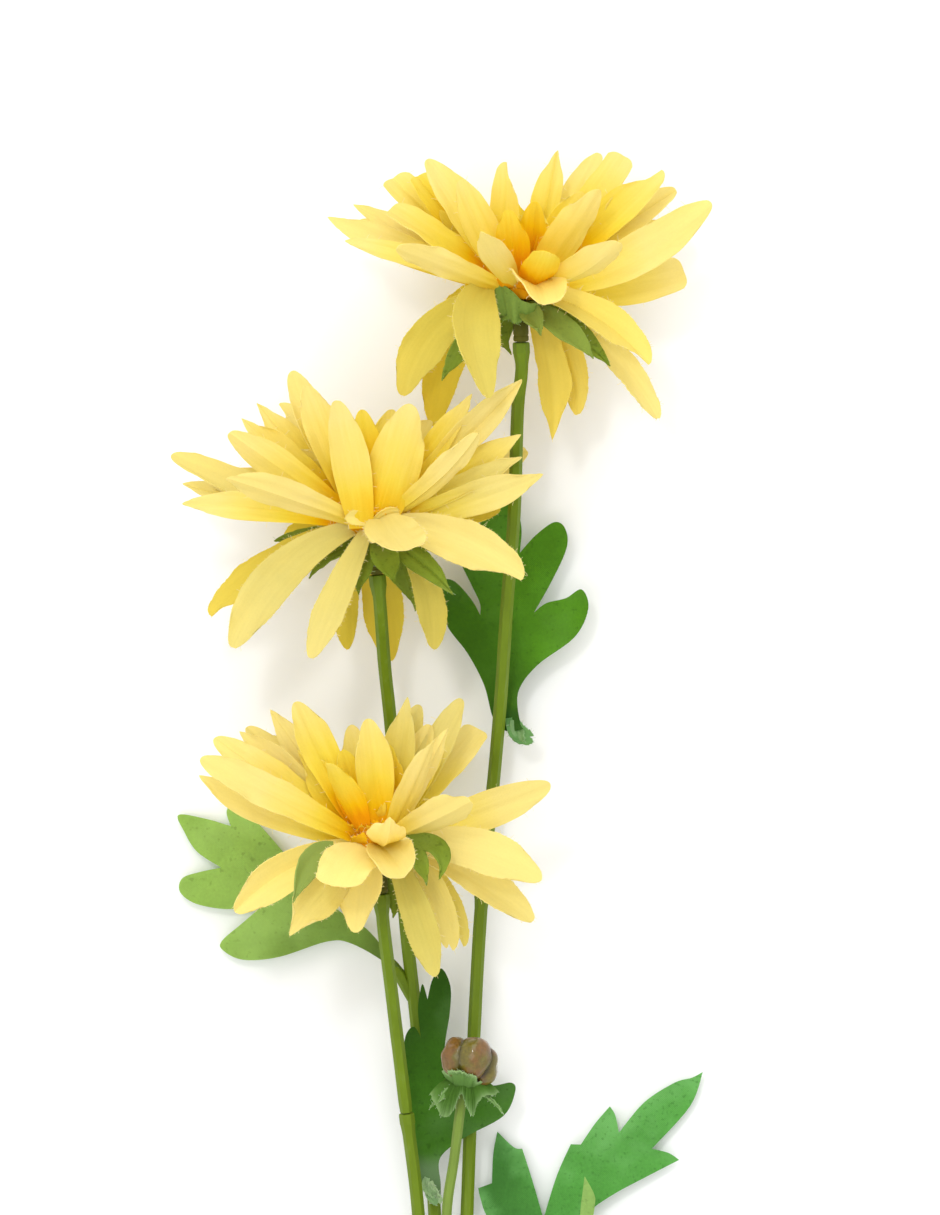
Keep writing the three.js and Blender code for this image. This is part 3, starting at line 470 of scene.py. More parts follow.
class GreenSettings(bpy.types.PropertyGroup):
    """Sizes and colours of the sepals, stems, bud and leaves."""

    cloth: length_setting("Cloth", "Thickness of the leaf cloth", 0.36 * MM)
    rib: share_setting("Rib", "Depth of a stem's flats as a share of its radius", 0.125)
    leaf: colour_setting("Leaf", "The leaf between the upper blooms", (0.088, 0.26, 0.013))
    light_leaf: colour_setting("Light leaf", "The leaf at the left", (0.36, 0.55, 0.12))
    dark_leaf: colour_setting("Dark leaf", "The leaf behind the bud", (0.055, 0.175, 0.012))
    bright_leaf: colour_setting("Bright leaf", "The leaf at the lower right", (0.10, 0.35, 0.06))
    pale_leaf: colour_setting("Pale leaf", "The small young leaf", (0.34, 0.52, 0.15))
    sepal: colour_setting("Sepal", "Pointed leaves under a bloom", (0.20, 0.28, 0.025))
    crumple: colour_setting("Crumple", "Soft cloth over the pegs", (0.20, 0.31, 0.055))
    frill: colour_setting("Frill", "Crumpled cloth under the bud", (0.12, 0.29, 0.032))
    stem: colour_setting("Stem", "Moulded stems", (0.13, 0.20, 0.007))
    peg: colour_setting("Peg", "Moulded pegs that carry the blooms", (0.085, 0.085, 0.006))
    bud_stem: colour_setting("Bud stem", "Paler plastic of the bud's stem", (0.172, 0.257, 0.04))
    bud: colour_setting("Bud", "Moulded bud", (0.20, 0.095, 0.02))
    olive: colour_setting("Olive", "Greener patches of the bud", (0.16, 0.135, 0.016))


class StageSettings(bpy.types.PropertyGroup):
    """Floor, light and camera."""

    camera_height: length_setting("Camera height", "Height of the camera over the blooms", 10.0)
    floor: colour_setting("Floor", "Colour of the table", (0.95, 0.95, 0.95))
    sky: bpy.props.FloatProperty(
        name="Sky", description="Brightness of the even light from all round", default=0.88, min=0
    )
    key: bpy.props.FloatProperty(
        name="Key", description="Power of the soft light beyond the blooms", default=8,
        subtype="POWER", unit="POWER", min=0,
    )


# Nodes

def find(sockets, key):
    """A socket by its place in the list, or by its identifier."""
    if isinstance(key, int):
        return sockets[key]
    return next(socket for socket in sockets if socket.identifier == key)


class Signal:
    """A node's output that takes part in Python sums: each sum adds its own Math node."""

    def __init__(self, graph, socket):
        self.graph = graph
        self.socket = socket

    def beside(self, output):
        """Another output of the same node."""
        return Signal(self.graph, find(self.socket.node.outputs, output))

    def __add__(self, other):
        return self.graph.sum("ADD", self, other)

    def __sub__(self, other):
        return self.graph.sum("SUBTRACT", self, other)

    def __rsub__(self, other):
        return self.graph.sum("SUBTRACT", other, self)

    def __mul__(self, other):
        return self.graph.sum("MULTIPLY", self, other)

    __radd__ = __add__
    __rmul__ = __mul__


class Graph:
    """Adds nodes to one tree."""

    def __init__(self, tree):
        self.tree = tree

    def node(self, kind, settings=None, sockets=None, output=0):
        """Adds a node, sets it up, fills its sockets with values or signals, and gives an output."""
        made = self.tree.nodes.new(kind)
        for name, value in (settings or {}).items():
            if name == "stops":
                self.set_stops(made.color_ramp, value)
            else:
                setattr(made, name, value)
        for key, value in (sockets or {}).items():
            socket = find(made.inputs, key)
            if isinstance(value, Signal):
                self.tree.links.new(value.socket, socket)
            else:
                socket.default_value = value
        return Signal(self, find(made.outputs, output)) if made.outputs else None

    @staticmethod
    def set_stops(ramp, stops):
        while len(ramp.elements) < len(stops):
            ramp.elements.new(1)
        for element, (place, colour) in zip(ramp.elements, stops):
            element.position = place
            element.color = (*colour, 1)

    def sum(self, operation, first, second):
        return self.node("ShaderNodeMath", {"operation": operation}, {0: first, 1: second})


# Materials

class Finish(Graph):
    """Builds one material's nodes."""

    def __init__(self, name):
        self.material = bpy.data.materials.new(name)
        self.material.use_nodes = True
        super().__init__(self.material.node_tree)
        self.tree.nodes.clear()

    def attributes(self, *names):
        """Numbers that the mesh carries at its points."""
        return [
            self.node("ShaderNodeAttribute", {"attribute_name": name}, output="Fac")
            for name in names
        ]

    def place(self, stretch=(1, 1, 1), cloth=False):
        """Where a point is: on the piece in metres, or on the cloth's own map in millimetres."""
        if cloth:
            spot = self.node("ShaderNodeUVMap", {"uv_map": "cloth"})
        else:
            spot = self.node("ShaderNodeTexCoord", output="Object")
        return self.node("ShaderNodeMapping", None, {"Vector": spot, "Scale": stretch})

    def noise(self, scale, detail=3, stretch=(1, 1, 1), cloth=False):
        return self.node(
            "ShaderNodeTexNoise", {"noise_dimensions": "3D"},
            {"Vector": self.place(stretch, cloth), "Scale": scale, "Detail": detail},
        )

    def spread(self, value, low, high, start=0, end=1):
        """Stretches low..high to start..end, held at both ends."""
        return self.node(
            "ShaderNodeMapRange", {"clamp": True, "interpolation_type": "SMOOTHSTEP"},
            {"Value": value, "From Min": low, "From Max": high, "To Min": start, "To Max": end},
        )

    def blend(self, factor, first, second):
        """Mixes a colour into another one."""
        return self.node(
            "ShaderNodeMix", {"data_type": "RGBA"}, {0: factor, 6: first, 7: (*second, 1)}, output=2,
        )

    def shade(self, colour, value):
        """Makes a colour lighter or darker by a number that is 1 where nothing changes."""
        return self.node(
            "ShaderNodeVectorMath", {"operation": "SCALE"}, {0: colour, "Scale": value}
        )

    def weave(self, pitch):
        """Threads over and under each other on the cloth map, from -1 to 1."""
        weft = self.node("ShaderNodeSeparateXYZ", None, {0: self.place(cloth=True)})
        waves = [
            self.node("ShaderNodeMath", {"operation": "SINE"}, {0: axis * (2 * math.pi / pitch)})
            for axis in (weft, weft.beside(1))
        ]
        return waves[0] * waves[1]

    def bump(self, height, strength, depth):
        """The normal of a relief; depth is in millimetres."""
        return self.node(
            "ShaderNodeBump", None, {"Height": height, "Strength": strength, "Distance": depth * MM}
        )

    def surface(self, colour, roughness, normal, gloss, glow=None, coat=0):
        """Ends the material. glow is (share, colour) of the light that a thin sheet lets through."""
        shader = self.node("ShaderNodeBsdfPrincipled", None, {
            "Base Color": colour, "Roughness": roughness, "Normal": normal,
            "Specular IOR Level": gloss, "Coat Weight": coat, "Coat Roughness": 0.1,
        })
        if glow:
            share, tone = glow
            through = self.node("ShaderNodeBsdfTranslucent", None, {"Color": (*tone, 1)})
            shader = self.node("ShaderNodeMixShader", None, {0: share, 1: shader, 2: through})
        self.node("ShaderNodeOutputMaterial", None, {"Surface": shader})
        return self.material


def petal_finish(settings):
    """Woven petal cloth: orange at the root, then gold, yellow and lemon, and deeper inside, with
    painted shade and painted light on single petals.
    """
    finish = Finish("petal cloth")
    reach, tint, inside, deep, dull = finish.attributes("reach", "tint", "inside", "deep", "dull")
    streaks = finish.noise(1, stretch=(1.3, 0.07, 1), cloth=True)
    clouds = finish.noise(95)
    grain = finish.noise(2200, 2)
    ripeness = reach + (streaks - 0.5) * 0.16 + (clouds - 0.5) * 0.2 - tint * 0.14 + 0.1
    ripeness -= inside * (0.26 - reach * 0.16)
    ripeness -= finish.spread(reach, 0.1, 0.42, 0.13, 0)
    # A hanging petal has a deep number of at least 0.3, which pulls it to the paler tone of its outer
    # face. Above 0.3 the number is painted shade: the petal turns deeper gold here and takes on the
    # shaded colour below.
    hanging = finish.spread(deep, 0, 0.3, 0, 0.85)
    ripeness += (0.78 - deep * 0.3 - tint * 0.1 - ripeness) * hanging
    stops = [
        (0, settings.orange), (0.15, settings.gold), (0.38, settings.yellow),
        (0.8, settings.lemon),
    ]
    colour = finish.node("ShaderNodeValToRGB", {"stops": stops}, {"Fac": ripeness})
    # shaded is a painted shade colour for the far hanging petals. dull paints shade too: it blends in
    # the drab colour and darkens the petal. Where it is below nought, it brightens the petal as
    # painted light.
    shaded, painted_shade_tone, lit_through = (0.91, 0.69, 0.035), (0.72, 0.70, 0.16), (0.97, 0.83, 0.09)
    colour = finish.blend(finish.spread(deep, 0.3, 1, 0, 0.75), colour, shaded)
    dull = dull * (0.7 + clouds * 0.6) * finish.spread(reach, 0.5, 1.1, 1.15, 0.6)
    colour = finish.blend(dull * 0.5, colour, painted_shade_tone)
    colour = finish.shade(colour, 0.86 + streaks * 0.14 + grain * 0.1 - dull * 0.28)
    normal = finish.bump(finish.weave(0.42) * 0.5 + streaks * 2.6 + grain, 0.45, 0.14)
    return finish.surface(
        colour, 0.72 + clouds * 0.1, normal, 0.04, (settings.glow, lit_through)
    )


def leaf_finish(name, colour, glow=0.12, dull=(0.10, 0.12, 0.02), pale=0.3, speckled=0.5):
    """Printed green cloth: mottled and speckled, with duller folds, patches of a paler tone and
    painted shade.
    """
    finish = Finish(name)
    tint, vein, deep = finish.attributes("tint", "vein", "deep")
    blotches = finish.noise(90, 5)
    grain = finish.noise(1500, 2)
    specks = finish.noise(200 + 1200 * speckled)
    haze = finish.noise(55, 5)
    paler = [1.2 * part + 0.07 for part in colour]
    darker = [0.45 * part for part in colour]
    through = [min(1, 1.5 * part + 0.02) for part in colour]
    # The last factor is painted shade: the deep number darkens the cloth.
    tone = finish.shade(colour, (0.44 + blotches * 0.7 + grain * 0.36) * (1 - deep * 0.45))
    tone = finish.blend(finish.spread(haze, 0.45, 0.68, 0, pale), tone, paler)
    tone = finish.blend(finish.spread(specks, 0.66 - speckled * 0.12, 0.7, 0, 0.5), tone, darker)
    tone = finish.blend(finish.spread(tint, 0, 1, 0, 0.8), tone, dull)
    tone = finish.blend(finish.spread(tint, -1, 0, 0.8, 0), tone, paler)
    normal = finish.bump(finish.weave(0.5) * 0.6 + grain - vein * 1.2, 0.35, 0.13)
    return finish.surface(tone, 0.66 + grain * 0.1, normal, 0.08, (glow, through))


def stem_finish(name, colour, roughness=0.42):
    """Moulded plastic, streaked along its length and a little worn on its ribs."""
    finish = Finish(name)
    streaks = finish.noise(900, stretch=(1, 0.06, 1))
    blotches = finish.noise(110, stretch=(1, 0.5, 1))
    pits = finish.noise(2600, 2)
    dusty = [0.9 * part + 0.06 for part in colour]
    tone = finish.shade(colour, 0.66 + blotches * 0.42 + streaks * 0.3)
    tone = finish.blend(finish.spread(streaks, 0.56, 0.8, 0, 0.3), tone, dusty)
    normal = finish.bump(pits * 0.4 + streaks, 0.35, 0.12)
    return finish.surface(tone, roughness + blotches * 0.16, normal, 0.16)


def bud_finish(colour, olive):
    """Glossy brown plastic, greener in patches, with small wrinkles and painted shade in the seams
    between lobes.
    """
    finish = Finish("bud gloss")
    deep, = finish.attributes("deep")
    blotches = finish.noise(150)
    specks = finish.noise(1500, 2)
    wrinkles = finish.noise(700, stretch=(1, 0.4, 1))
    tone = finish.blend(finish.spread(blotches, 0.42, 0.6, 0, 0.9), (*colour, 1), olive)
    # The last factor is painted shade: the deep number darkens the seams between lobes.
    tone = finish.shade(tone, (0.3 + specks * 0.5 + wrinkles * 0.7) * (1 - deep * 0.75))
    normal = finish.bump(wrinkles * 2 + specks, 0.4, 0.22)
    return finish.surface(tone, 0.3 + specks * 0.14, normal, 0.2, coat=0.8)


def thread_finish(name, colour):
    """Loose threads of the cloth."""
    finish = Finish(name)
    shift = finish.noise(700, 2)
    tone = finish.shade(colour, 0.8 + shift * 0.4)
    return finish.surface(tone, 0.8, finish.bump(shift, 0.2, 0.05), 0.2)


def floor_finish(colour):
    finish = Finish("pale table")
    haze = finish.noise(3)
    tone = finish.shade(colour, 0.985 + haze * 0.03)
    return finish.surface(tone, 0.9, finish.bump(haze, 0.02, 0.5), 0.1)


# Shapes

def drawer(seed):
    """Draws the numbers between -1 and 1 that the source of the solids draws for the same seed."""
    state = seed

    def draw():
        nonlocal state
        state = (state * 1664525 + 1013904223) % 4294967296
        return state / 4294967296 * 2 - 1

    return draw


def sides_of(axis):
    """Two directions across an axis: to its right, and towards the viewer."""
    side = axis.cross(UP).normalized()
    return side, side.cross(axis)


def across(direction, along):
    """The part of a direction that lies across another one."""
    return (direction - along * direction.dot(along)).normalized()


def over_table(heart, offset):
    """Where a tip may go: one that would reach into the table is spread along it."""
    lowest = REST_HEIGHT - heart.z
    if offset.z >= lowest:
        return offset
    flat = math.hypot(offset.x, offset.y)
    spread = math.sqrt(max(offset.length_squared - lowest * lowest, 0)) / flat
    return Vector((offset.x * spread, offset.y * spread, lowest))


def pose_of(root, bend, tip, face, width):
    """Where a blade springs, bends and ends, the way it faces, and its width and length."""
    return {
        "root": root, "bend": bend, "tip": tip, "face": face, "width": width,
        "length": (tip - root).length,
    }


def springing(bloom, offset, level, root_r, width, arch, draw):
    """A blade's pose, from its root near the axis to its tip, facing as the solids' blades do."""
    heart, axis = bloom["heart"], bloom["axis"]
    reach = over_table(heart, offset)
    root = heart + axis * level + across(reach, axis) * root_r
    tip = heart + reach
    along = (tip - root).normalized()
    inner = across(axis, along)
    bend = root.lerp(tip, 0.5) + inner * arch * (tip - root).length
    bend.z = max(bend.z, LOWEST_BEND)
    viewer = across(UP, along) * (-1 if inner.dot(UP) < 0 else 1)
    turn = 0.8 - 0.35 * abs(along.z)
    face = inner * (1 - turn) + viewer * turn
    face.rotate(Quaternion(along, 0.3 * draw()))
    draw()  # the slant of the solid's tip
    return pose_of(root, bend, tip, face, width)


def sway(pose, shifts):
    """Bends a blade a little off its solid: shifts of its root, its bend and its tip."""
    for key, shift in zip(("root", "bend", "tip"), shifts):
        pose[key] = pose[key] + Vector(shift)
    pose["length"] = (pose["tip"] - pose["root"]).length


def petal_pose(bloom, spec, draw):
    offset = Vector(spec[:3])
    rise = offset.dot(bloom["axis"])
    spread = math.sqrt(max(0, 1 - (rise / offset.length) ** 2))
    width = PETAL_WIDTH * spec[3] * (1 + 0.06 * draw())
    level, root_r = (3 - 4.4 * spread, 4.2) if rise > 0 else (-2.2, 5)
    pose = springing(bloom, offset, level, root_r, width, spec[4], draw)
    pose["peak"] = 0.5 if offset.length < LONG_PETAL else 0.66
    pose["hangs"] = rise < 0
    return pose


def back_tips(bloom, draw):
    """The tips of the petals behind the posed ones, ring by ring."""
    axis = bloom["axis"]
    side, front = sides_of(axis)
    tips = []
    for middle_lean, start, end, count, length in bloom["back"]:
        step = (end - start) / max(count - 1, 1)
        for k in range(count):
            azimuth = math.radians(start + step * k + 5 * draw())
            lean = math.radians(middle_lean + 6 * draw())
            tip = side * math.sin(lean) * math.cos(azimuth)
            tip += front * math.sin(lean) * math.sin(azimuth)
            tip += axis * math.cos(lean)
            tips.append([*(tip * length), 1, 0.25 if lean > math.pi / 2 else 0.06])
    return tips


def unit(rows):
    """Rows of vectors at length one."""
    return rows / np.maximum(np.linalg.norm(rows, axis=-1, keepdims=True), 1e-9)


def smooth(values, low, high):
    share = np.clip((values - low) / (high - low), 0, 1)
    return share * share * (3 - 2 * share)


def smooth_line(points, steps, spacing):
    """A dense smooth line through points, short of its last one; its ends only steer it.

    spacing is how much the line minds the distances between them, as a power.
    """
    dense = []
    for p0, p1, p2, p3 in zip(points, points[1:], points[2:], points[3:]):
        d0, d1, d2 = (np.linalg.norm(b - a) ** spacing for a, b in ((p0, p1), (p1, p2), (p2, p3)))
        leave = ((p1 - p0) / d0 - (p2 - p0) / (d0 + d1) + (p2 - p1) / d1) * d1
        arrive = ((p2 - p1) / d1 - (p3 - p1) / (d1 + d2) + (p3 - p2) / d2) * d1
        for t in np.arange(steps) / steps:
            dense.append(
                p1 + leave * t + (-3 * p1 + 3 * p2 - 2 * leave - arrive) * t ** 2
                + (2 * p1 - 2 * p2 + leave + arrive) * t ** 3
            )
    return dense


@dataclass
class Outline:
    """How a blade widens from its root, how wide it ends, and how that end is cut.

    Widths are shares of the widest place. The dome, shoulder and notch say how far the end draws
    back, as shares of the whole width.
    """

    root: float = 0.36
    peak: float = 0.66
    end: float = 0.6
    dome: float = 0.62
    power: float = 2.4
    shoulder: float = 0
    side: int = 1
    notch: float = 0
    middle: float = 0
    lean: float = 0

    def half(self, share):
        """Half the width along the blade."""
        rise = 1 - (1 - np.minimum(share / self.peak, 1)) ** 1.6
        late = np.clip((share - self.peak) / (1 - self.peak), 0, 1)
        return (self.root + (1 - self.root) * rise) * (1 - (1 - self.end) * late ** 1.8)

    def drawn_back(self, across_it):
        """How far the end draws back at each place across it."""
        off = np.abs(across_it - self.middle * 0.3) / (1 + abs(self.middle) * 0.3)
        back = self.dome * off ** self.power + self.lean * across_it
        back = back + self.shoulder * smooth(across_it * self.side, 0.02, 0.2)
        return back + self.notch * np.exp(-((across_it - self.middle) / 0.17) ** 2)


def mesh_object(name, points, faces, material, edges=(), corner=None):
    """A mesh from points in millimetres. Where faces turn by over corner degrees, it stays sharp."""
    mesh = bpy.data.meshes.new(name)
    mesh.from_pydata([tuple(point) for point in np.asarray(points) * MM], list(edges), faces)
    mesh.update()
    made = bpy.data.objects.new(name, mesh)
    bpy.context.scene.collection.objects.link(made)
    if material:
        mesh.materials.append(material)
    if faces:
        mesh.shade_smooth()
    if corner:
        mesh.set_sharp_from_angle(angle=math.radians(corner))
    return made


def add_numbers(made, name, values):
    """Gives a mesh a number, or a vector, at each point."""
    values = np.asarray(values, dtype=np.float32)
    kind, key = ("FLOAT", "value") if values.ndim == 1 else ("FLOAT_VECTOR", "vector")
    made.data.attributes.new(name, kind, "POINT").data.foreach_set(key, values.ravel())


def add_cloth_map(made, places):
    """Gives a mesh its cloth map, from each point's place on the cloth in millimetres."""
    corners = np.empty(len(made.data.loops), dtype=np.int32)
    made.data.loops.foreach_get("vertex_index", corners)
    layer = made.data.uv_layers.new(name="cloth")
    layer.uv.foreach_set("vector", places[corners].ravel().astype(np.float32))


def keep_over(made, height):
    """Lifts what lies lower than a height in millimetres."""
    for vertex in made.data.vertices:
        vertex.co.z = max(vertex.co.z, height * MM)


class Cloth:
    """Gathers thin closed sheets into one mesh, with the numbers that the materials read."""

    def __init__(self):
        self.points, self.faces, self.map, self.borders = [], [], [], []
        self.numbers = {
            "reach": [], "tint": [], "inside": [], "deep": [], "dull": [], "vein": [],
        }
        self.count = 0

    def add_grid(self, rows, thickness, cloth_map, **numbers):
        """A sheet from rows of points, thickened to both sides and closed along its border."""
        shape = rows.shape[:2]
        size = shape[0] * shape[1]
        normals = unit(np.cross(np.gradient(rows, axis=1), np.gradient(rows, axis=0)))
        for side in (1, -1):
            self.points.append((rows + side * normals * thickness / 2).reshape(-1, 3))
            self.map.append(cloth_map.reshape(-1, 2))
        numbers["inside"] = 0
        for name, values in self.numbers.items():
            upper = np.broadcast_to(numbers.get(name, 0), shape).reshape(-1)
            values += [upper, upper + 1 if name == "inside" else upper]
        index = np.arange(size).reshape(shape)
        top = np.stack([index[:-1, :-1], index[:-1, 1:], index[1:, 1:], index[1:, :-1]], -1)
        top = top.reshape(-1, 4)
        loop = np.concatenate([index[:-1, 0], index[-1, :-1], index[:0:-1, -1], index[0, :0:-1]])
        onward = np.roll(loop, -1)
        rim = np.stack([loop, onward, onward + size, loop + size], -1)
        self.faces.append(np.concatenate([top, top[:, [0, 3, 2, 1]] + size, rim]) + self.count)
        self.count += 2 * size

    def add_border(self, line, outward, torn):
        """A cut edge that threads may hang from, the way they point, and whether it is torn."""
        self.borders.append((line, outward, torn))

    def finish(self, name, material):
        points = np.concatenate(self.points)
        points[:, 2] = np.maximum(points[:, 2], CLOTH_LIFT)
        faces = np.concatenate(self.faces).tolist()
        made = mesh_object(name, points, faces, material, corner=CLOTH_CORNER)
        for label, values in self.numbers.items():
            add_numbers(made, label, np.concatenate(values))
        add_cloth_map(made, np.concatenate(self.map))
        return made


def dress(piece, slot, *nodes):
    """Hands a finished piece over: what it rides on and the solids it replaces. Its slot is not used.
    """
    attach(piece, "root")
    if nodes:
        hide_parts(*nodes)


def blade(cloth, pose, outline, thickness, heart, chance, steps=24, cells=14, cup=0.16,
          roll=1.6, ruffle=0.45, crease=0.2, curl=0, tint=0, deep=0, dull=0, twist=0, ragged=0):
    """One fine blade: a cupped, creased and ruffled sheet along a curved middle line."""
    root, bend, tip, face = (np.array(pose[key]) for key in ("root", "bend", "tip", "face"))
    length, width = pose["length"], pose["width"]
    share = np.linspace(0, 1, steps + 1)[:, None]
    v = np.linspace(-1, 1, cells + 1)[None, :]
    back = outline.drawn_back(v) * width
    if ragged:
        back = back + ragged * chance.uniform(-1, 1, v.shape)
    u = share * (1 - back / length * share ** 3)
    w = u[..., None]
    spine = (1 - w) ** 2 * root + 2 * w * (1 - w) * bend + w ** 2 * tip
    along = unit((1 - w) * (bend - root) + w * (tip - bend))
    sideways = unit(np.cross(np.broadcast_to(face, along.shape), along))
    normal = np.cross(along, sideways)
    angle = twist * (w - 0.25)
    sideways, normal = (
        sideways * np.cos(angle) + normal * np.sin(angle),
        normal * np.cos(angle) - sideways * np.sin(angle),
    )
    half = width / 2 * outline.half(share)
    phase = chance.uniform(0, 2 * math.pi, 4)
    flutter = np.sin(u * length * 0.42 + phase[0] + v * 2) + 0.5 * np.sin(u * length + phase[1])
    swelling = smooth(u, 0.1, 0.6)
    lift = half * cup * np.abs(v) ** roll * (1 + 0.35 * v * np.sin(phase[3]))
    lift = lift + ruffle * flutter * v * np.abs(v) ** 2 * swelling
    lift = lift + 0.5 * ruffle * np.sin(u * 5 + phase[2])
    fold = np.exp(-(v / 0.13) ** 2) + 0.6 * np.cos(v * 8 + 0.6 * phase[2]) * (1 - v ** 2)
    lift = lift - crease * fold * (0.5 + 0.5 * np.sin(u * math.pi))
    lift = lift + curl * length * np.clip((u - 0.55) / 0.45, 0, 1) ** 2
    place = half * v
    if ragged:
        place[:, [0, -1]] += ragged * chance.uniform(-1, 1, (steps + 1, 2)) * swelling[:, [0, -1]]
    rows = spine + sideways * place[..., None] + normal * lift[..., None]
    cloth_map = np.stack([place + 20 * phase[3], u * length + 20 * phase[1]], -1)
    reach = np.linalg.norm(rows - np.array(heart), axis=-1) / FULL_REACH
    cloth.add_grid(rows, thickness, cloth_map, reach=reach, tint=tint, deep=deep, dull=dull)
    cloth.add_border(rows[3:, 0], -sideways[3:, 0], ragged > 0)
    cloth.add_border(rows[3:, -1], sideways[3:, -1], ragged > 0)
    if ragged:
        cloth.add_border(rows[-1], along[-1], True)


def tube_faces(rings, sides):
    """Quads between rings and a fan at each end; the last two points are the ends' middles."""
    round_it = [(j, (j + 1) % sides) for j in range(sides)]
    last = (rings - 1) * sides
    faces = [
        (i + sides + j, i + sides + k, i + k, i + j)
        for i in range(0, last, sides) for j, k in round_it
    ]
    for j, k in round_it:
        faces += [(j, k, last + sides), (last + k, last + j, last + sides + 1)]
    return faces


def turned_object(name, heart, axis, profile, material, sides=40, relief=None):
    """A round closed piece on an axis, from pairs of level and radius.

    relief is how far a noise moves its points in or out, and the size of that noise.
    """
    side, front = sides_of(axis)
    angles = np.arange(sides) * 2 * math.pi / sides
    ring = np.outer(np.cos(angles), side) + np.outer(np.sin(angles), front)
    levels, radii = np.array(profile).T
    centre = np.array(heart)
    rings = (centre + np.outer(levels, axis))[:, None] + ring[None] * radii[:, None, None]
    points = rings.reshape(-1, 3)
    ends = [rings[0].mean(axis=0), rings[-1].mean(axis=0)]
    if relief:
        depth, size = relief
        for i, point in enumerate(points):
            away = point - centre
            push = noise.noise(Vector(point) / size) * depth
            points[i] = point + away / max(np.linalg.norm(away), 1e-6) * push
    points = np.concatenate([points, ends])
    return mesh_object(name, points, tube_faces(len(profile), sides), material, corner=MOULD_CORNER)


def joined(name, pieces):
    """One mesh object from several."""
    first = pieces[0]
    with bpy.context.temp_override(active_object=first, selected_editable_objects=pieces):
        bpy.ops.object.join()
    first.name = name
    first.data.name = name
    return first


def line_object(name, points, swell):
    """A loose line of points, each knowing how thick the stem is there."""
    edges = [(i, i + 1) for i in range(len(points) - 1)]
    made = mesh_object(name, points, [], None, edges)
    add_numbers(made, "swell", swell)
    return made


def border_object(name, borders):
    """Cut edges as loose lines, each point knowing which way is out."""
    points, edges, outward = [], [], []
    for line, way in borders:
        edges += [(i, i + 1) for i in range(len(points), len(points) + len(line) - 1)]
        points.extend(line)
        outward.extend(way)
    made = mesh_object(name, points, [], None, edges)
    add_numbers(made, "outward", outward)
    return made


# Geometry Nodes

class Growth(Graph):
    """Builds one Geometry Nodes tree with named inputs, and runs it on objects."""

    def __init__(self, name, inputs):
        super().__init__(bpy.data.node_groups.new(name, "GeometryNodeTree"))
        self.identifiers = {}
        self.add_socket("Geometry", "Geometry")
        for label, value in inputs.items():
            kind = "Int" if isinstance(value, int) else "Float"
            self.add_socket(label, kind).default_value = value
        self.add_socket("Material", "Material")
        self.tree.interface.new_socket("Geometry", in_out="OUTPUT", socket_type="NodeSocketGeometry")
        self.start = self.node("NodeGroupInput")

    def add_socket(self, label, kind):
        made = self.tree.interface.new_socket(
            label, in_out="INPUT", socket_type="NodeSocket" + kind
        )
        self.identifiers[label] = made.identifier
        return made

    def input(self, label):
        return self.start.beside(self.identifiers[label])

    def line(self):
        """The object's loose edges as curves."""
        return self.node("GeometryNodeMeshToCurve", None, {"Mesh": self.input("Geometry")})

    def number(self, name, kind="FLOAT"):
        """A number, or a vector, that the object carries at its points."""
        return self.node("GeometryNodeInputNamedAttribute", {"data_type": kind}, {"Name": name})

    def random_vector(self, low, high):
        return self.node(
            "FunctionNodeRandomValue", {"data_type": "FLOAT_VECTOR"},
            {"Min": low, "Max": high, "Seed": self.input("Seed")},
        )

    def random_length(self, low, high, whole):
        """A length between two shares of a whole one."""
        share = self.node(
            "FunctionNodeRandomValue", {"data_type": "FLOAT"},
            {"Min_001": low, "Max_001": high, "Seed": self.input("Seed")}, output="Value_001",
        )
        return share * whole

    def spun(self, turn, low, high):
        """A rotation with a random turn on top of it."""
        spin = self.node(
            "FunctionNodeEulerToRotation", None, {"Euler": self.random_vector(low, high)}
        )
        return self.node(
            "FunctionNodeRotateRotation", {"rotation_space": "LOCAL"},
            {"Rotation": turn, "Rotate By": spin},
        )

    def sweep(self, line, section, scale):
        return self.node("GeometryNodeCurveToMesh", None, {
            "Curve": line, "Profile Curve": section, "Scale": scale, "Fill Caps": True,
        })

    def strand(self, steps, start, leave, end, arrive, sides, radius, scale):
        """A short bent strand, about one metre long until it is scaled."""
        line = self.node("GeometryNodeCurvePrimitiveBezierSegment", {"mode": "OFFSET"}, {
            "Resolution": steps, "Start": start, "Start Handle": leave, "End": end,
            "End Handle": arrive,
        })
        section = self.node(
            "GeometryNodeCurvePrimitiveCircle", {"mode": "RADIUS"},
            {"Resolution": sides, "Radius": radius},
        )
        return self.sweep(line, section, scale)

    def end(self, geometry):
        whole = self.node("GeometryNodeRealizeInstances", None, {"Geometry": geometry})
        coloured = self.node(
            "GeometryNodeSetMaterial", None,
            {"Geometry": whole, "Material": self.input("Material")},
        )
        self.node("NodeGroupOutput", None, {0: coloured})
        return self

    def grow(self, source, name, **values):
        """Runs the tree on an object, and gives its result as a plain mesh object."""
        modifier = source.modifiers.new(name, "NODES")
        modifier.node_group = self.tree
        for label, value in values.items():
            modifier[self.identifiers[label.replace("_", " ")]] = value
        depsgraph = bpy.context.evaluated_depsgraph_get()
        mesh = bpy.data.meshes.new_from_object(source.evaluated_get(depsgraph))
        source.modifiers.remove(modifier)
        if not mesh.polygons:
            raise RuntimeError(f"{name} came out empty")
        made = bpy.data.objects.new(name, mesh)
        bpy.context.scene.collection.objects.link(made)
        bpy.data.objects.remove(source)
        return made


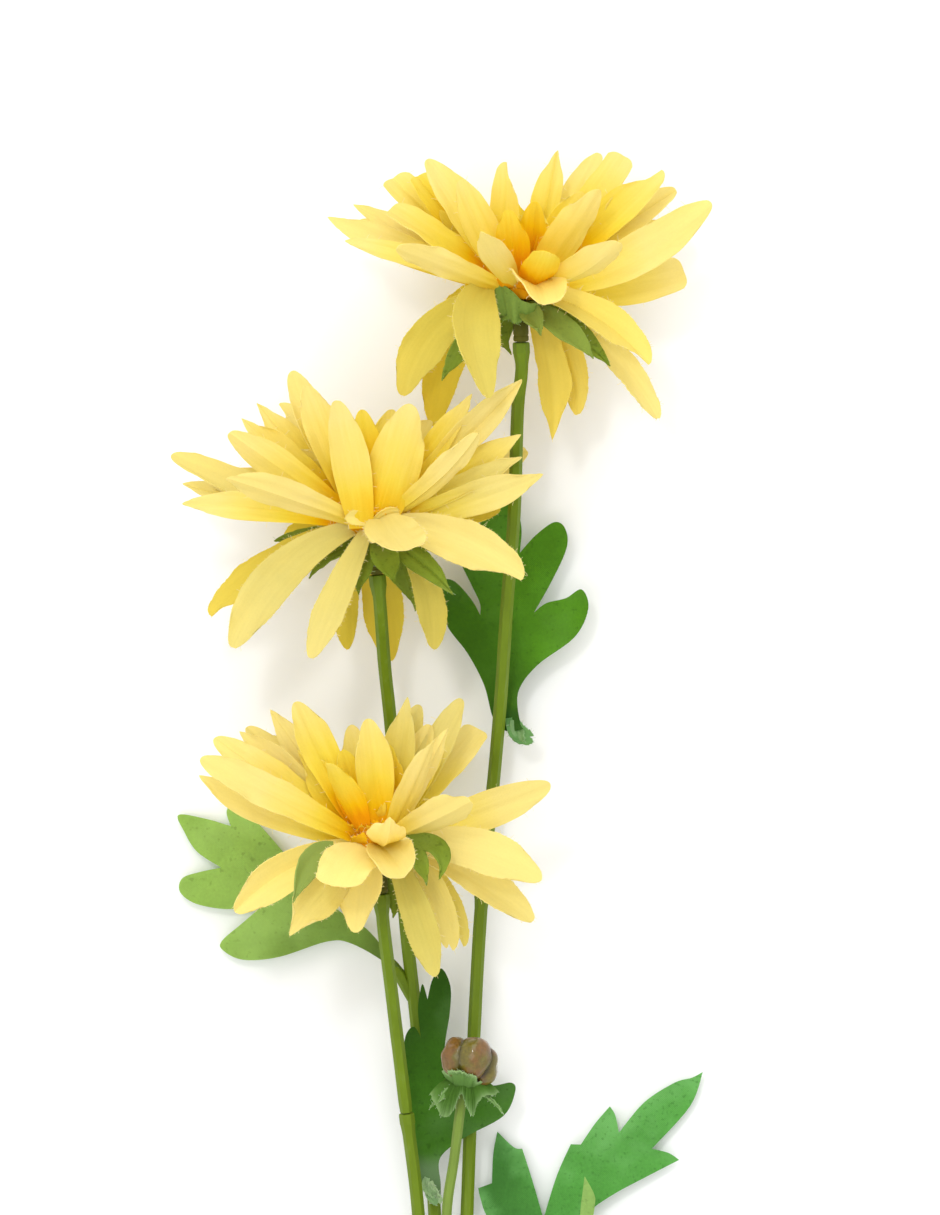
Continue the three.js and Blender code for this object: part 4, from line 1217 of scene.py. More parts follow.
def stem_tree():
    """Sweeps a ribbed section along a line of points, swelling where the points say."""
    tree = Growth("Ribbed stem", {
        "Radius": STEM_R * MM, "Rib depth": 0.12, "Ribs": 6, "Corner": 0.2 * MM,
    })
    radius = tree.input("Radius")
    star = tree.node("GeometryNodeCurveStar", None, {
        "Points": tree.input("Ribs"), "Inner Radius": radius * (1 - tree.input("Rib depth")),
        "Outer Radius": radius, "Twist": 0,
    })
    section = tree.node(
        "GeometryNodeFilletCurve", {"mode": "POLY"},
        {"Curve": star, "Count": 2, "Radius": tree.input("Corner"), "Limit Radius": True},
    )
    body = tree.sweep(tree.line(), section, tree.number("swell"))
    return tree.end(tree.node("GeometryNodeSetShadeSmooth", None, {"Geometry": body}))


def thread_tree():
    """Scatters short bent threads along cut edges, pointing out of the cloth."""
    tree = Growth("Frayed threads", {
        "Gap": 3 * MM, "Length": 1 * MM, "Thickness": 0.04 * MM, "Chance": 0.55, "Seed": 1,
    })
    length = tree.input("Length")
    spots = tree.node(
        "GeometryNodeCurveToPoints", {"mode": "LENGTH"},
        {"Curve": tree.line(), "Length": tree.input("Gap")},
    )
    shake = tree.random_vector([-0.1 * MM] * 3, [0.1 * MM] * 3)
    spots = tree.node("GeometryNodeSetPosition", None, {"Geometry": spots, "Offset": shake})
    thread = tree.strand(
        steps=4, start=(0, 0, 0), leave=(0.2, 0, 0.4), end=(0.1, 0.3, 1),
        arrive=(-0.3, 0.1, -0.2), sides=3, radius=1,
        scale=tree.sum("DIVIDE", tree.input("Thickness"), length),
    )
    outward = tree.number("outward", "FLOAT_VECTOR")
    aim = tree.node(
        "ShaderNodeVectorMath", {"operation": "ADD"},
        {0: outward, 1: tree.random_vector([-0.7] * 3, [0.7] * 3)},
    )
    turn = tree.node("FunctionNodeAlignRotationToVector", {"axis": "Z"}, {"Vector": aim})
    kept = tree.node(
        "FunctionNodeRandomValue", {"data_type": "BOOLEAN"},
        {"Probability": tree.input("Chance"), "Seed": tree.input("Seed")}, output="Value_003",
    )
    return tree.end(tree.node("GeometryNodeInstanceOnPoints", None, {
        "Points": spots, "Selection": kept, "Instance": thread,
        "Rotation": tree.spun(turn, (0, 0, 0), (0, 0, 6.28)),
        "Scale": tree.random_length(0.35, 1.3, length),
    }))


def tuft_tree():
    """Covers the faces of a knob with short curled florets, leaning as the faces do."""
    tree = Growth("Heart tuft", {"Spacing": 0.75 * MM, "Height": 2.6 * MM, "Seed": 1})
    spots = tree.node("GeometryNodeDistributePointsOnFaces", {"distribute_method": "POISSON"}, {
        "Mesh": tree.input("Geometry"), "Distance Min": tree.input("Spacing"),
        "Density Max": 3.0e6, "Seed": tree.input("Seed"),
    })
    taper = tree.node("ShaderNodeMapRange", None, {
        "Value": tree.node("GeometryNodeSplineParameter"), "To Min": 1, "To Max": 0.35,
    })
    floret = tree.strand(
        steps=5, start=(0, 0, -0.2), leave=(0, 0, 0.5), end=(0.22, 0.05, 1),
        arrive=(-0.02, 0, -0.4), sides=5, radius=0.12, scale=taper,
    )
    florets = tree.node("GeometryNodeInstanceOnPoints", None, {
        "Points": spots, "Instance": floret,
        "Rotation": tree.spun(spots.beside("Rotation"), (-0.35, -0.35, 0), (0.35, 0.35, 6.28)),
        "Scale": tree.random_length(0.6, 1.15, tree.input("Height")),
    })
    return tree.end(tree.node("GeometryNodeSetShadeSmooth", None, {"Geometry": florets}))


def fray(name, cloth, slot, material, gap, length, chance, seed, torn_only=False):
    """Frayed threads along a cloth's cut edges, or its torn ones, as a piece of their own."""
    borders = [(line, way) for line, way, torn in cloth.borders if torn or not torn_only]
    threads = thread_tree().grow(
        border_object(name + "_edges", borders), name,
        Gap=gap, Length=length, Chance=chance, Seed=seed, Material=material,
    )
    keep_over(threads, CLOTH_LIFT)
    dress(threads, slot)


# Blooms

def special(bloom, what, place, usual):
    """What the table gives to one blade, or else the usual."""
    return bloom.get(what, {}).get(place, usual)


def tip_shape(pose, chance, kind):
    """The tip of one petal, of a kind from the table or by chance."""
    if kind == BY_CHANCE:
        kind = chance.choice(list(TIP_CHANCES), p=list(TIP_CHANCES.values()))
    side = 1 if chance.random() < 0.5 else -1
    shape = {"peak": pose["peak"] + chance.uniform(-0.05, 0.05), "lean": chance.uniform(-0.1, 0.1)}
    if kind == "r":
        return Outline(end=0.66, dome=0.55, power=2.3, **shape)
    if kind == "p":
        return Outline(end=0.42, dome=0.66, power=1.3, middle=0.4 * side, **shape)
    if kind == "s":
        return Outline(end=0.82, dome=0.15, power=4.5, **shape)
    if kind == "t":
        return Outline(end=0.62, dome=0.5, power=2, shoulder=chance.uniform(0.25, 0.5), side=side,
                       middle=-0.5 * side, **shape)
    return Outline(end=0.7, dome=0.5, notch=chance.uniform(0.15, 0.35),
                   middle=chance.uniform(-0.35, 0.35), **shape)


class DAISY_OT_petals(bpy.types.Operator):
    """Build each bloom's petals, its tufted heart and the frayed threads on the petals' edges"""

    bl_idname = "daisy.petals"
    bl_label = "Petals"

    def execute(self, context):
        settings = context.scene.daisy_petals
        cloth_finish = petal_finish(settings)
        thread = thread_finish("petal thread", (0.98, 0.84, 0.42))
        pollen = thread_finish("heart tuft", (0.97, 0.42, 0.02))
        for name, bloom in BLOOMS.items():
            self.petals(name, bloom, settings, cloth_finish, thread)
            self.heart(name, bloom, pollen)
        return {"FINISHED"}

    def petals(self, name, bloom, settings, material, thread):
        seed = bloom["seed"]
        draw, chance = drawer(seed), np.random.default_rng(seed)
        thickness = settings.cloth / MM
        cloth = Cloth()
        tips = bloom["petals"] + back_tips(bloom, draw)
        kinds = bloom["tips"].ljust(len(tips), BY_CHANCE)
        for place, spec in enumerate(tips):
            pose = petal_pose(bloom, spec, draw)
            sway(pose, special(bloom, "sways", place, ()))
            pose["face"] = Vector(special(bloom, "faces", place, pose["face"]))
            hangs = pose["hangs"]
            # Hanging petals get painted shade: through deep, more the further back they lie, and
            # through dull, a little unless dulls gives more.
            behind = 0.2 + (8 - spec[2]) / 25 + chance.uniform(-0.1, 0.1)
            outline = tip_shape(pose, chance, kinds[place])
            outline.root = special(bloom, "feet", place, outline.root)
            blade(
                cloth, pose, outline, thickness, bloom["heart"], chance, steps=64 if hangs else 24,
                cup=chance.uniform(0.08, 0.55), roll=chance.uniform(1.05, 1.9),
                ruffle=settings.ruffle / MM * chance.uniform(0.4, 1.2),
                crease=settings.crease / MM * chance.uniform(0.5, 1.8),
                curl=chance.uniform(-0.03, 0.03), twist=chance.uniform(-0.3, 0.3),
                tint=special(bloom, "hues", place, chance.uniform(-1, 1)) - bloom["pale"],
                deep=special(bloom, "painted_shade_depths", place, min(max(behind, 0.3), 1)) if hangs else 0,
                dull=special(bloom, "painted_shading", place, 0.25 if hangs else 0),
                ragged=0.11 if hangs else 0,
            )
        self.frills(bloom, thickness, cloth, chance)
        self.scraps(bloom, thickness, cloth, chance)
        knob = turned_object(
            "knob", bloom["heart"], bloom["axis"],
            [(level, HEART_R * share) for level, share in KNOB], material, relief=(1.1, 2.2),
        )
        piece = joined(name + "_petals", [cloth.finish(name + "_petals", material), knob])
        dress(piece, "petal", name + "_bloom_petals")
        fray(name + "_petal_threads", cloth, "petal", thread, settings.thread_gap,
             settings.thread_length, 0.35, seed)
        fray(name + "_petal_fringe", cloth, "petal", thread, settings.fringe_gap,
             settings.fringe_length, 0.6, seed + 1, torn_only=True)

    def frills(self, bloom, thickness, cloth, chance):
        """Short torn petals crowded round the knob."""
        heart, axis = bloom["heart"], bloom["axis"]
        side, front = sides_of(axis)
        for ring, (level, root_r, lean, length, count) in enumerate(FRILLS):
            for k in range(count):
                azimuth = 2 * math.pi * (k + 0.5 * ring) / count + chance.uniform(-0.2, 0.2)
                radial = side * math.cos(azimuth) + front * math.sin(azimuth)
                bow = math.radians(lean + chance.uniform(-12, 12))
                along = radial * math.sin(bow) + axis * math.cos(bow)
                root = heart + axis * level + radial * root_r
                tip = root + along * length * chance.uniform(0.7, 1.15)
                inner = across(axis, along)
                bend = root.lerp(tip, 0.5) - inner * 0.8
                pose = pose_of(root, bend, tip, inner, chance.uniform(3.6, 5.4))
                outline = Outline(root=0.6, peak=0.5, end=0.8, dome=0.3, power=2,
                                  notch=chance.uniform(0, 0.25), middle=chance.uniform(-0.6, 0.6))
                blade(cloth, pose, outline, thickness, heart, chance, steps=14, cells=12,
                      cup=chance.uniform(0, 0.5), ruffle=0.7, crease=0.15, ragged=0.22,
                      twist=chance.uniform(-0.6, 0.6), tint=chance.uniform(-1.5, 1))

    def scraps(self, bloom, thickness, cloth, chance):
        """Small curled ends of petals in front of the knob."""
        for *spots, width in bloom.get("scraps", ()):
            pose = pose_of(*(bloom["heart"] + Vector(spot) for spot in spots), UP, width)
            outline = Outline(root=0.7, peak=0.5, end=0.7, dome=0.4, notch=0.1, middle=0.3)
            # A deep of 0.3 marks these scraps as hanging petals with a paler outer face, without
            # painted shade.
            blade(cloth, pose, outline, thickness, bloom["heart"], chance, steps=16, cells=12,
                  cup=0.5, ruffle=0.3, ragged=0.14, tint=-0.6, deep=0.3)

    def heart(self, name, bloom, material):
        bed = turned_object(
            "tuft bed", bloom["heart"], bloom["axis"],
            [(2.6, HEART_R * 0.6), (3.8, HEART_R * 0.5), (4.6, HEART_R * 0.3), (4.9, 0.5)],
            None, sides=24,
        )
        tuft = tuft_tree().grow(bed, name + "_tuft", Seed=bloom["seed"], Material=material)
        dress(tuft, "petal")


def skirt(cloth, heart, axis, rows, thickness, tint=0, deep=0):
    """A sheet bent round an axis: each row is its angles, radii and levels."""
    side, front = sides_of(axis)
    made = np.array([
        np.array(heart) + np.outer(np.cos(turns) * radii, side)
        + np.outer(np.sin(turns) * radii, front) + np.outer(levels, axis)
        for turns, radii, levels in rows
    ])
    turns = rows[0][0]
    spans = np.stack(np.broadcast_arrays(turns[None] * 5, np.arange(len(rows))[:, None] * 0.8), -1)
    cloth.add_grid(made, thickness, spans, tint=tint, deep=deep)
    cloth.add_border(made[-1], unit(made[-1] - made[-2]), True)


class DAISY_OT_calyxes(bpy.types.Operator):
    """Build the sepals and the crumpled cloth under each bloom"""

    bl_idname = "daisy.calyxes"
    bl_label = "Calyxes"

    def execute(self, context):
        greens = context.scene.daisy_greens
        sepal = leaf_finish("sepal cloth", greens.sepal, 0.12, (0.14, 0.15, 0.015))
        crumpled = leaf_finish("crumpled cloth", greens.crumple, 0.1, pale=0.1)
        thread = thread_finish("sepal thread", (0.42, 0.55, 0.28))
        for name, bloom in BLOOMS.items():
            self.sepals(name, bloom, greens.cloth / MM, sepal, thread)
            self.crumple(name, bloom, greens.cloth / MM, crumpled, thread)
        return {"FINISHED"}

    def sepals(self, name, bloom, thickness, material, thread):
        seed = bloom["seed"] + 5
        draw, chance = drawer(seed), np.random.default_rng(seed)
        cloth = Cloth()
        for place, (*tip, width, arch) in enumerate(bloom["sepals"]):
            pose = springing(
                bloom, Vector(tip), SEPAL_LEVEL, 2.8, SEPAL_WIDTH * width, arch, draw
            )
            sway(pose, special(bloom, "sepal_sways", place, ()))
            outline = Outline(root=0.5, peak=chance.uniform(0.35, 0.5), end=0.12, dome=0.3,
                              power=1.2, lean=chance.uniform(-0.15, 0.15))
            blade(
                cloth, pose, outline, thickness, bloom["heart"], chance, steps=26,
                cells=10, cup=chance.uniform(0.1, 0.4), ruffle=0.3, crease=0.3,
                curl=chance.uniform(-0.05, 0.05), twist=chance.uniform(-0.4, 0.4), ragged=0.08,
                tint=0.8 * chance.uniform(0, 1) ** 3 - special(bloom, "light_sepals", place, 0),
            )
        cup = turned_object(
            "cup", bloom["heart"], bloom["axis"],
            [(-4.3, 3.6), (-4.8, CALYX_R), (-5.7, CALYX_R * 0.9), (-6.8, 3.4), (-7.9, PEG_R + 0.9)],
            material, relief=(0.5, 1.6),
        )
        piece = joined(name + "_sepals", [cloth.finish(name + "_sepals", material), cup])
        dress(piece, "sepal", name + "_bloom_calyx")
        fray(name + "_sepal_threads", cloth, "sepal", thread, 1.6 * MM, 0.7 * MM, 0.4, seed)

    def crumple(self, name, bloom, thickness, material, thread):
        """Softer cloth that hangs in folds round the peg, torn along its hem."""
        seed = bloom["seed"] + 9
        chance = np.random.default_rng(seed)
        cloth = Cloth()
        turns = np.linspace(0, 2 * math.pi, 97)
        waves = sum(
            chance.uniform(0.2, 0.7) * np.sin(turns * count + chance.uniform(0, 6.28))
            for count in (3, 5, 8)
        )
        rows = []
        for share in np.linspace(0, 1, 8):
            radii = PEG_R + 1.3 + (2.4 + 0.6 * waves) * share ** 0.8
            rows.append((turns, radii, -5.9 - 2.4 * share - 0.8 * waves * share ** 1.5))
        skirt(cloth, bloom["heart"], bloom["axis"], rows, thickness)
        if "drape" in bloom:
            self.drape(cloth, bloom, thickness, chance)
        dress(cloth.finish(name + "_crumple", material), "sepal")
        fray(name + "_crumple_threads", cloth, "sepal", thread, 0.5 * MM, 0.7 * MM, 0.6, seed)

    def drape(self, cloth, bloom, thickness, chance):
        """A fold of it over the near side of the knob."""
        left, right, high_left, high_right, low = bloom["drape"]
        span = np.linspace(0, 1, 49)
        turns = np.radians(left + (right - left) * span)
        folds = 0.55 * np.sin(span * 17 + 1) + 0.3 * np.sin(span * 31)
        top = high_left + (high_right - high_left) * smooth(span, 0.15, 0.8) + 0.3 * folds
        hem = low + 0.9 * np.sin(span * 9 + 0.5) + chance.uniform(-0.3, 0.3, len(span))
        rows = []
        for share in np.linspace(0, 1, 12):
            radii = 6.6 - 1.4 * share ** 2 + folds * (0.3 + 0.9 * share)
            rows.append((turns, radii, top + (hem - top) * share))
        skirt(cloth, bloom["heart"], bloom["axis"], rows, thickness)


class DAISY_OT_pegs(bpy.types.Operator):
    """Build the moulded peg that carries each bloom"""

    bl_idname = "daisy.pegs"
    bl_label = "Pegs"

    def execute(self, context):
        material = stem_finish("peg plastic", context.scene.daisy_greens.peg, 0.5)
        shoulder = SEPAL_LEVEL - 2.2 - GAP
        profile = [
            (PEG_END, PEG_R * 0.9), (PEG_END + 0.25, PEG_R), (-12.9, PEG_R), (-12.75, PEG_R * 0.93),
            (-12.45, PEG_R * 0.93), (-12.3, PEG_R), (shoulder - 0.3, PEG_R), (shoulder, PEG_R * 0.9),
            (shoulder + 0.02, 1.1), (2, 1.1),
        ]
        for name, bloom in BLOOMS.items():
            peg = turned_object(name + "_peg", bloom["heart"], bloom["axis"], profile, material)
            dress(peg, "peg", name + "_bloom_peg")
        return {"FINISHED"}


# Stems

def smooth_route(points):
    """A dense smooth line through points, as the source's own curve runs, with its lengths."""
    line = [np.array(point) for point in points]
    line = [2 * line[0] - line[1], *line, 2 * line[-1] - line[-2]]
    dense = np.array([*smooth_line(line, 24, 0.5), line[-2]])
    lengths = np.concatenate([[0], np.cumsum(np.linalg.norm(np.diff(dense, axis=0), axis=1))])
    return dense, lengths


def along_route(dense, lengths, at):
    """Points at some distances along a route."""
    return np.column_stack([np.interp(at, lengths, values) for values in dense.T])


class DAISY_OT_stems(bpy.types.Operator):
    """Build the ribbed branches with their sleeves, and the forked main stem"""

    bl_idname = "daisy.stems"
    bl_label = "Stems"

    def execute(self, context):
        greens = context.scene.daisy_greens
        material = stem_finish("stem plastic", greens.stem)
        paler = stem_finish("bud stem plastic", greens.bud_stem)
        tree = stem_tree()
        for name, branch in BRANCHES.items():
            self.branch(tree, name, branch, greens, paler if branch["route"] == "bud" else material)
        self.main_stem(tree, material)
        foot = self.rod(tree, "leaf_stalk", STALK, STALK_SWELL, 1.45, greens.rib, 6, material)
        dress(foot, "stem")
        return {"FINISHED"}

    def rod(self, tree, name, points, swell, radius, depth, ribs, material):
        """A ribbed rod along points, as thick at each one as its swell says."""
        return tree.grow(
            line_object(name + "_line", points, swell), name,
            Radius=radius * MM, Rib_depth=depth, Ribs=ribs, Material=material,
        )

    def branch(self, tree, name, branch, greens, material):
        dense, lengths = smooth_route(ROUTES[branch["route"]])
        start = branch["from"] * lengths[-1] + GAP
        end = branch["to"] * lengths[-1]
        at = list(np.arange(start, end - COLLAR_LENGTH - 3.4, 2.2))
        radius = branch["radius"]
        swell = [1 + 0.03 * noise.noise(Vector((0, s * 0.12, radius))) for s in at]
        swell[0] = 0.92
        if branch["route"] == "bud":
            at += [end - 1.5, end - 0.2, end]
            swell += [1, 1, 0.9]
        else:
            sleeve = (COLLAR_R - (0.25 if branch["to"] == 1 else 0.45)) / radius
            rim = end - COLLAR_LENGTH
            at += [rim - 2.6, rim - 0.4, rim, end - 0.5, end - 0.15, end]
            swell += [1, sleeve * 0.94, sleeve, sleeve, sleeve * 0.96, sleeve * 0.86]
        points = along_route(dense, lengths, at)
        piece = self.rod(tree, name + "_piece", points, swell, radius, greens.rib, 6, material)
        piece.data.set_sharp_from_angle(angle=math.radians(RIB_CORNER))
        dress(piece, "stem", name)

    def main_stem(self, tree, material):
        """A cut rod that swells into a fork, with a sleeve round each branch."""
        points = [(x, y, z) for y, x, z, _ in MAIN_STEM]
        swell = [radius / MAIN_R for *_, radius in MAIN_STEM]
        rods = [self.rod(tree, "rod", points, swell, MAIN_R, 0.05, 9, material)]
        for name, route in ROUTES.items():
            line = along_route(*smooth_route(route), SLEEVE["at"])
            radius = BUD_STEM_R if name == "bud" else STEM_R
            rods.append(self.rod(
                tree, name + "_sleeve", line, SLEEVE["swell"], radius, 0.02, 8, material
            ))
        piece = joined("main_stem_piece", rods)
        piece.data.set_sharp_from_angle(angle=math.radians(RIB_CORNER))
        keep_over(piece, STEM_LIFT)
        dress(piece, "stem", "main_stem")


# Bud

class DAISY_OT_bud(bpy.types.Operator):
    """Build the lobed bud and the frayed frill it sits in"""

    bl_idname = "daisy.bud"
    bl_label = "Bud"

    def execute(self, context):
        greens = context.scene.daisy_greens
        self.lobes(bud_finish(greens.bud, greens.olive))
        material = leaf_finish("frill cloth", greens.frill, 0.22, (0.46, 0.66, 0.30), 0.12)
        self.frill(greens.cloth / MM * 0.8, material)
        return {"FINISHED"}

    def lobes(self, material):
        """Plump lobes pressed together, each with its own dimples."""
        tilt = Vector((0, 1, 0)).rotation_difference(BUD_AXIS)
        turns = [math.pi * step / 20 for step in range(21)]
        lobes, spans = [], []
        for k, (right, along, front, radius, stretch) in enumerate(BUD_LOBES):
            centre = tilt @ Vector((right, along, front)) + BUD_CENTRE
            profile = [
                (-radius * stretch * math.cos(turn), max(radius * math.sin(turn) ** 0.9, 0.05))
                for turn in turns
            ]
            lobe = turned_object(
                f"lobe_{k}", centre, BUD_AXIS, profile, material, sides=36, relief=(0.7, 2.9),
            )
            lobe.data.attributes.remove(lobe.data.attributes["sharp_edge"])
            lobes.append(lobe)
            spans.append((np.array(centre), radius, stretch))
        for k, lobe in enumerate(lobes):
            self.darken_seams(lobe, spans[:k] + spans[k + 1:])
        dress(joined("bud_lobes", lobes), "bud", "bud")

    def darken_seams(self, lobe, others):
        """Paints shade where a lobe comes close to another one, as the deep number that the bud's
        finish darkens by.
        """
        points = np.array([vertex.co for vertex in lobe.data.vertices]) / MM
        seam_shade = np.zeros(len(points))
        for centre, radius, stretch in others:
            offset = points - centre
            along = offset @ np.array(BUD_AXIS)
            across_it = np.sqrt(np.maximum((offset ** 2).sum(axis=1) - along ** 2, 0))
            size = np.hypot(across_it / radius, along / (radius * stretch))
            seam_shade = np.maximum(seam_shade, np.exp(-((np.maximum(size, 1) - 1) / 0.2) ** 2))
        add_numbers(lobe, "deep", seam_shade)

    def frill(self, thickness, material):
        """A torn collar of thin cloth: a rim that cups the bud and points that hang from it."""
        chance = np.random.default_rng(BUD_SEED)
        cloth = Cloth()
        turns = np.linspace(0, 2 * math.pi, 181)

        def lobe(towards, breadth):
            gap = np.angle(np.exp(1j * (turns - towards)))
            return np.exp(-(gap / breadth) ** 2)

        right, left, behind = lobe(0.12, 0.42), lobe(math.pi - 0.25, 0.5), lobe(-1.2, 0.4)
        near_right, near_left, far = lobe(1.0, 0.42), lobe(2.2, 0.4), lobe(-1.9, 0.4)
        torn = chance.uniform(-0.25, 0.25, len(turns))
        torn[-1] = torn[0]
        wave = 0.4 * np.sin(turns * 11 + 2) + 0.3 * np.sin(turns * 7)
        arch = lobe(1.75, 0.9)
        spread = 5.4 * right + 4.6 * left + 2.4 * behind + 1.6 * (near_right + near_left + far)
        drop = 1.4 * right + 3.4 * left + 7 * near_right + 7.6 * near_left + 4 * far
        height = 1.8 + 4.8 * arch + 0.9 * left + 0.7 * wave + torn
        shares = np.linspace(0, 1, 20)
        hem, cup = [], []
        for share in shares:
            radii = 1.9 + (1.2 + spread + torn) * share ** 0.9
            rise = 1.4 + 1.1 * math.sin(math.pi * share) + wave * share
            hem.append((turns, radii, rise - drop * share ** 1.6))
            rolled = arch * smooth(share, 0.72, 1)
            radii = 2.1 + 2.5 * share ** 0.9 + wave * share + 1.6 * rolled
            cup.append((turns, radii, 0.2 + height * share ** 1.3 - 0.8 * rolled ** 2))
        down = shares[:, None]
        # The deep numbers paint shade, darkest at the roots of the hem and of the cup under the arch.
        # The tints make both paler towards their torn ends.
        skirt(cloth, BUD_SEAT, BUD_AXIS, hem, thickness, 0.55 * down ** 6, 1.35 - 0.65 * down)
        skirt(cloth, BUD_SEAT, BUD_AXIS, cup, thickness, 0.2 + 0.6 * down ** 5, 1.3 * (1 - down))
        self.strips(cloth, thickness, chance)
        cup = turned_object(
            "cup", BUD_SEAT, BUD_AXIS,
            [(-1, 1.7), (-0.6, 2.3), (0.2, 2.6), (0.7, 2.6), (1.1, 2.2)],
            material, relief=(0.4, 1.3),
        )
        piece = joined("bud_frill_points", [cloth.finish("bud_frill_points", material), cup])
        dress(piece, "bud_frill", "bud_calyx")
        thread = thread_finish("frill thread", (0.55, 0.68, 0.42))
        fray("bud_frill_threads", cloth, "bud_frill", thread, 0.5 * MM, 0.5 * MM, 0.5, BUD_SEED)

    def strips(self, cloth, thickness, chance):
        """Loose strips that stand off the collar."""
        side, front = sides_of(BUD_AXIS)
        for right, along, near, width in FRILL_STRIPS:
            way = side * right + BUD_AXIS * along + front * near
            tip = BUD_SEAT + way
            root = BUD_SEAT + way * 0.25 + BUD_AXIS * 1.5
            bend = root.lerp(tip, 0.6) + BUD_AXIS * 1.6
            blade(
                cloth, pose_of(root, bend, tip, front + side * 0.3, width),
                Outline(root=0.7, peak=0.4, end=0.3, dome=0.4), thickness, BUD_SEAT, chance,
                cells=6, cup=0.3, ruffle=0.4, crease=0.1, ragged=0.16, tint=0.5,
            )


# Leaves

def smooth_run(points, steps):
    """Points on a smooth line through a run of outline points, without its last point."""
    run = [np.array(point) for point in points]
    if len(run) < 3:
        return [run[0] + (run[1] - run[0]) * t / steps for t in range(steps)]
    return smooth_line([run[0], *run, run[-1]], steps, 0)


def leaf_outline(leaf):
    """The whole edge of a leaf. Each run starts where the one before it ends."""
    runs = leaf["runs"]
    starts = [run[-1] for run in runs[-1:] + runs[:-1]]
    return np.array([
        point for start, run in zip(starts, runs) for point in smooth_run([start, *run], 6)
    ])


def inside(points, outline):
    """Which points lie inside a closed outline."""
    x, y = points[:, 0][:, None], points[:, 1][:, None]
    x1, y1 = outline[:, 0][None], outline[:, 1][None]
    x2, y2 = np.roll(outline[:, 0], -1)[None], np.roll(outline[:, 1], -1)[None]
    crosses = (y1 > y) != (y2 > y)
    at = (x2 - x1) * (y - y1) / np.where(y2 == y1, 1e-9, y2 - y1) + x1
    return (crosses & (x < at)).sum(axis=1) % 2 == 1


def distance_to_lines(points, starts, ends):
    """The distance from each point to the nearest of some straight lines."""
    run = ends - starts
    share = np.einsum("pld,ld->pl", points[:, None] - starts[None], run)
    share = np.clip(share / np.maximum((run ** 2).sum(axis=1), 1e-9), 0, 1)
    nearest = starts[None] + share[..., None] * run[None]
    return np.linalg.norm(points[:, None] - nearest, axis=2).min(axis=1)


def distance_to_edge(points, outline):
    return distance_to_lines(points, outline, np.roll(outline, -1, axis=0))


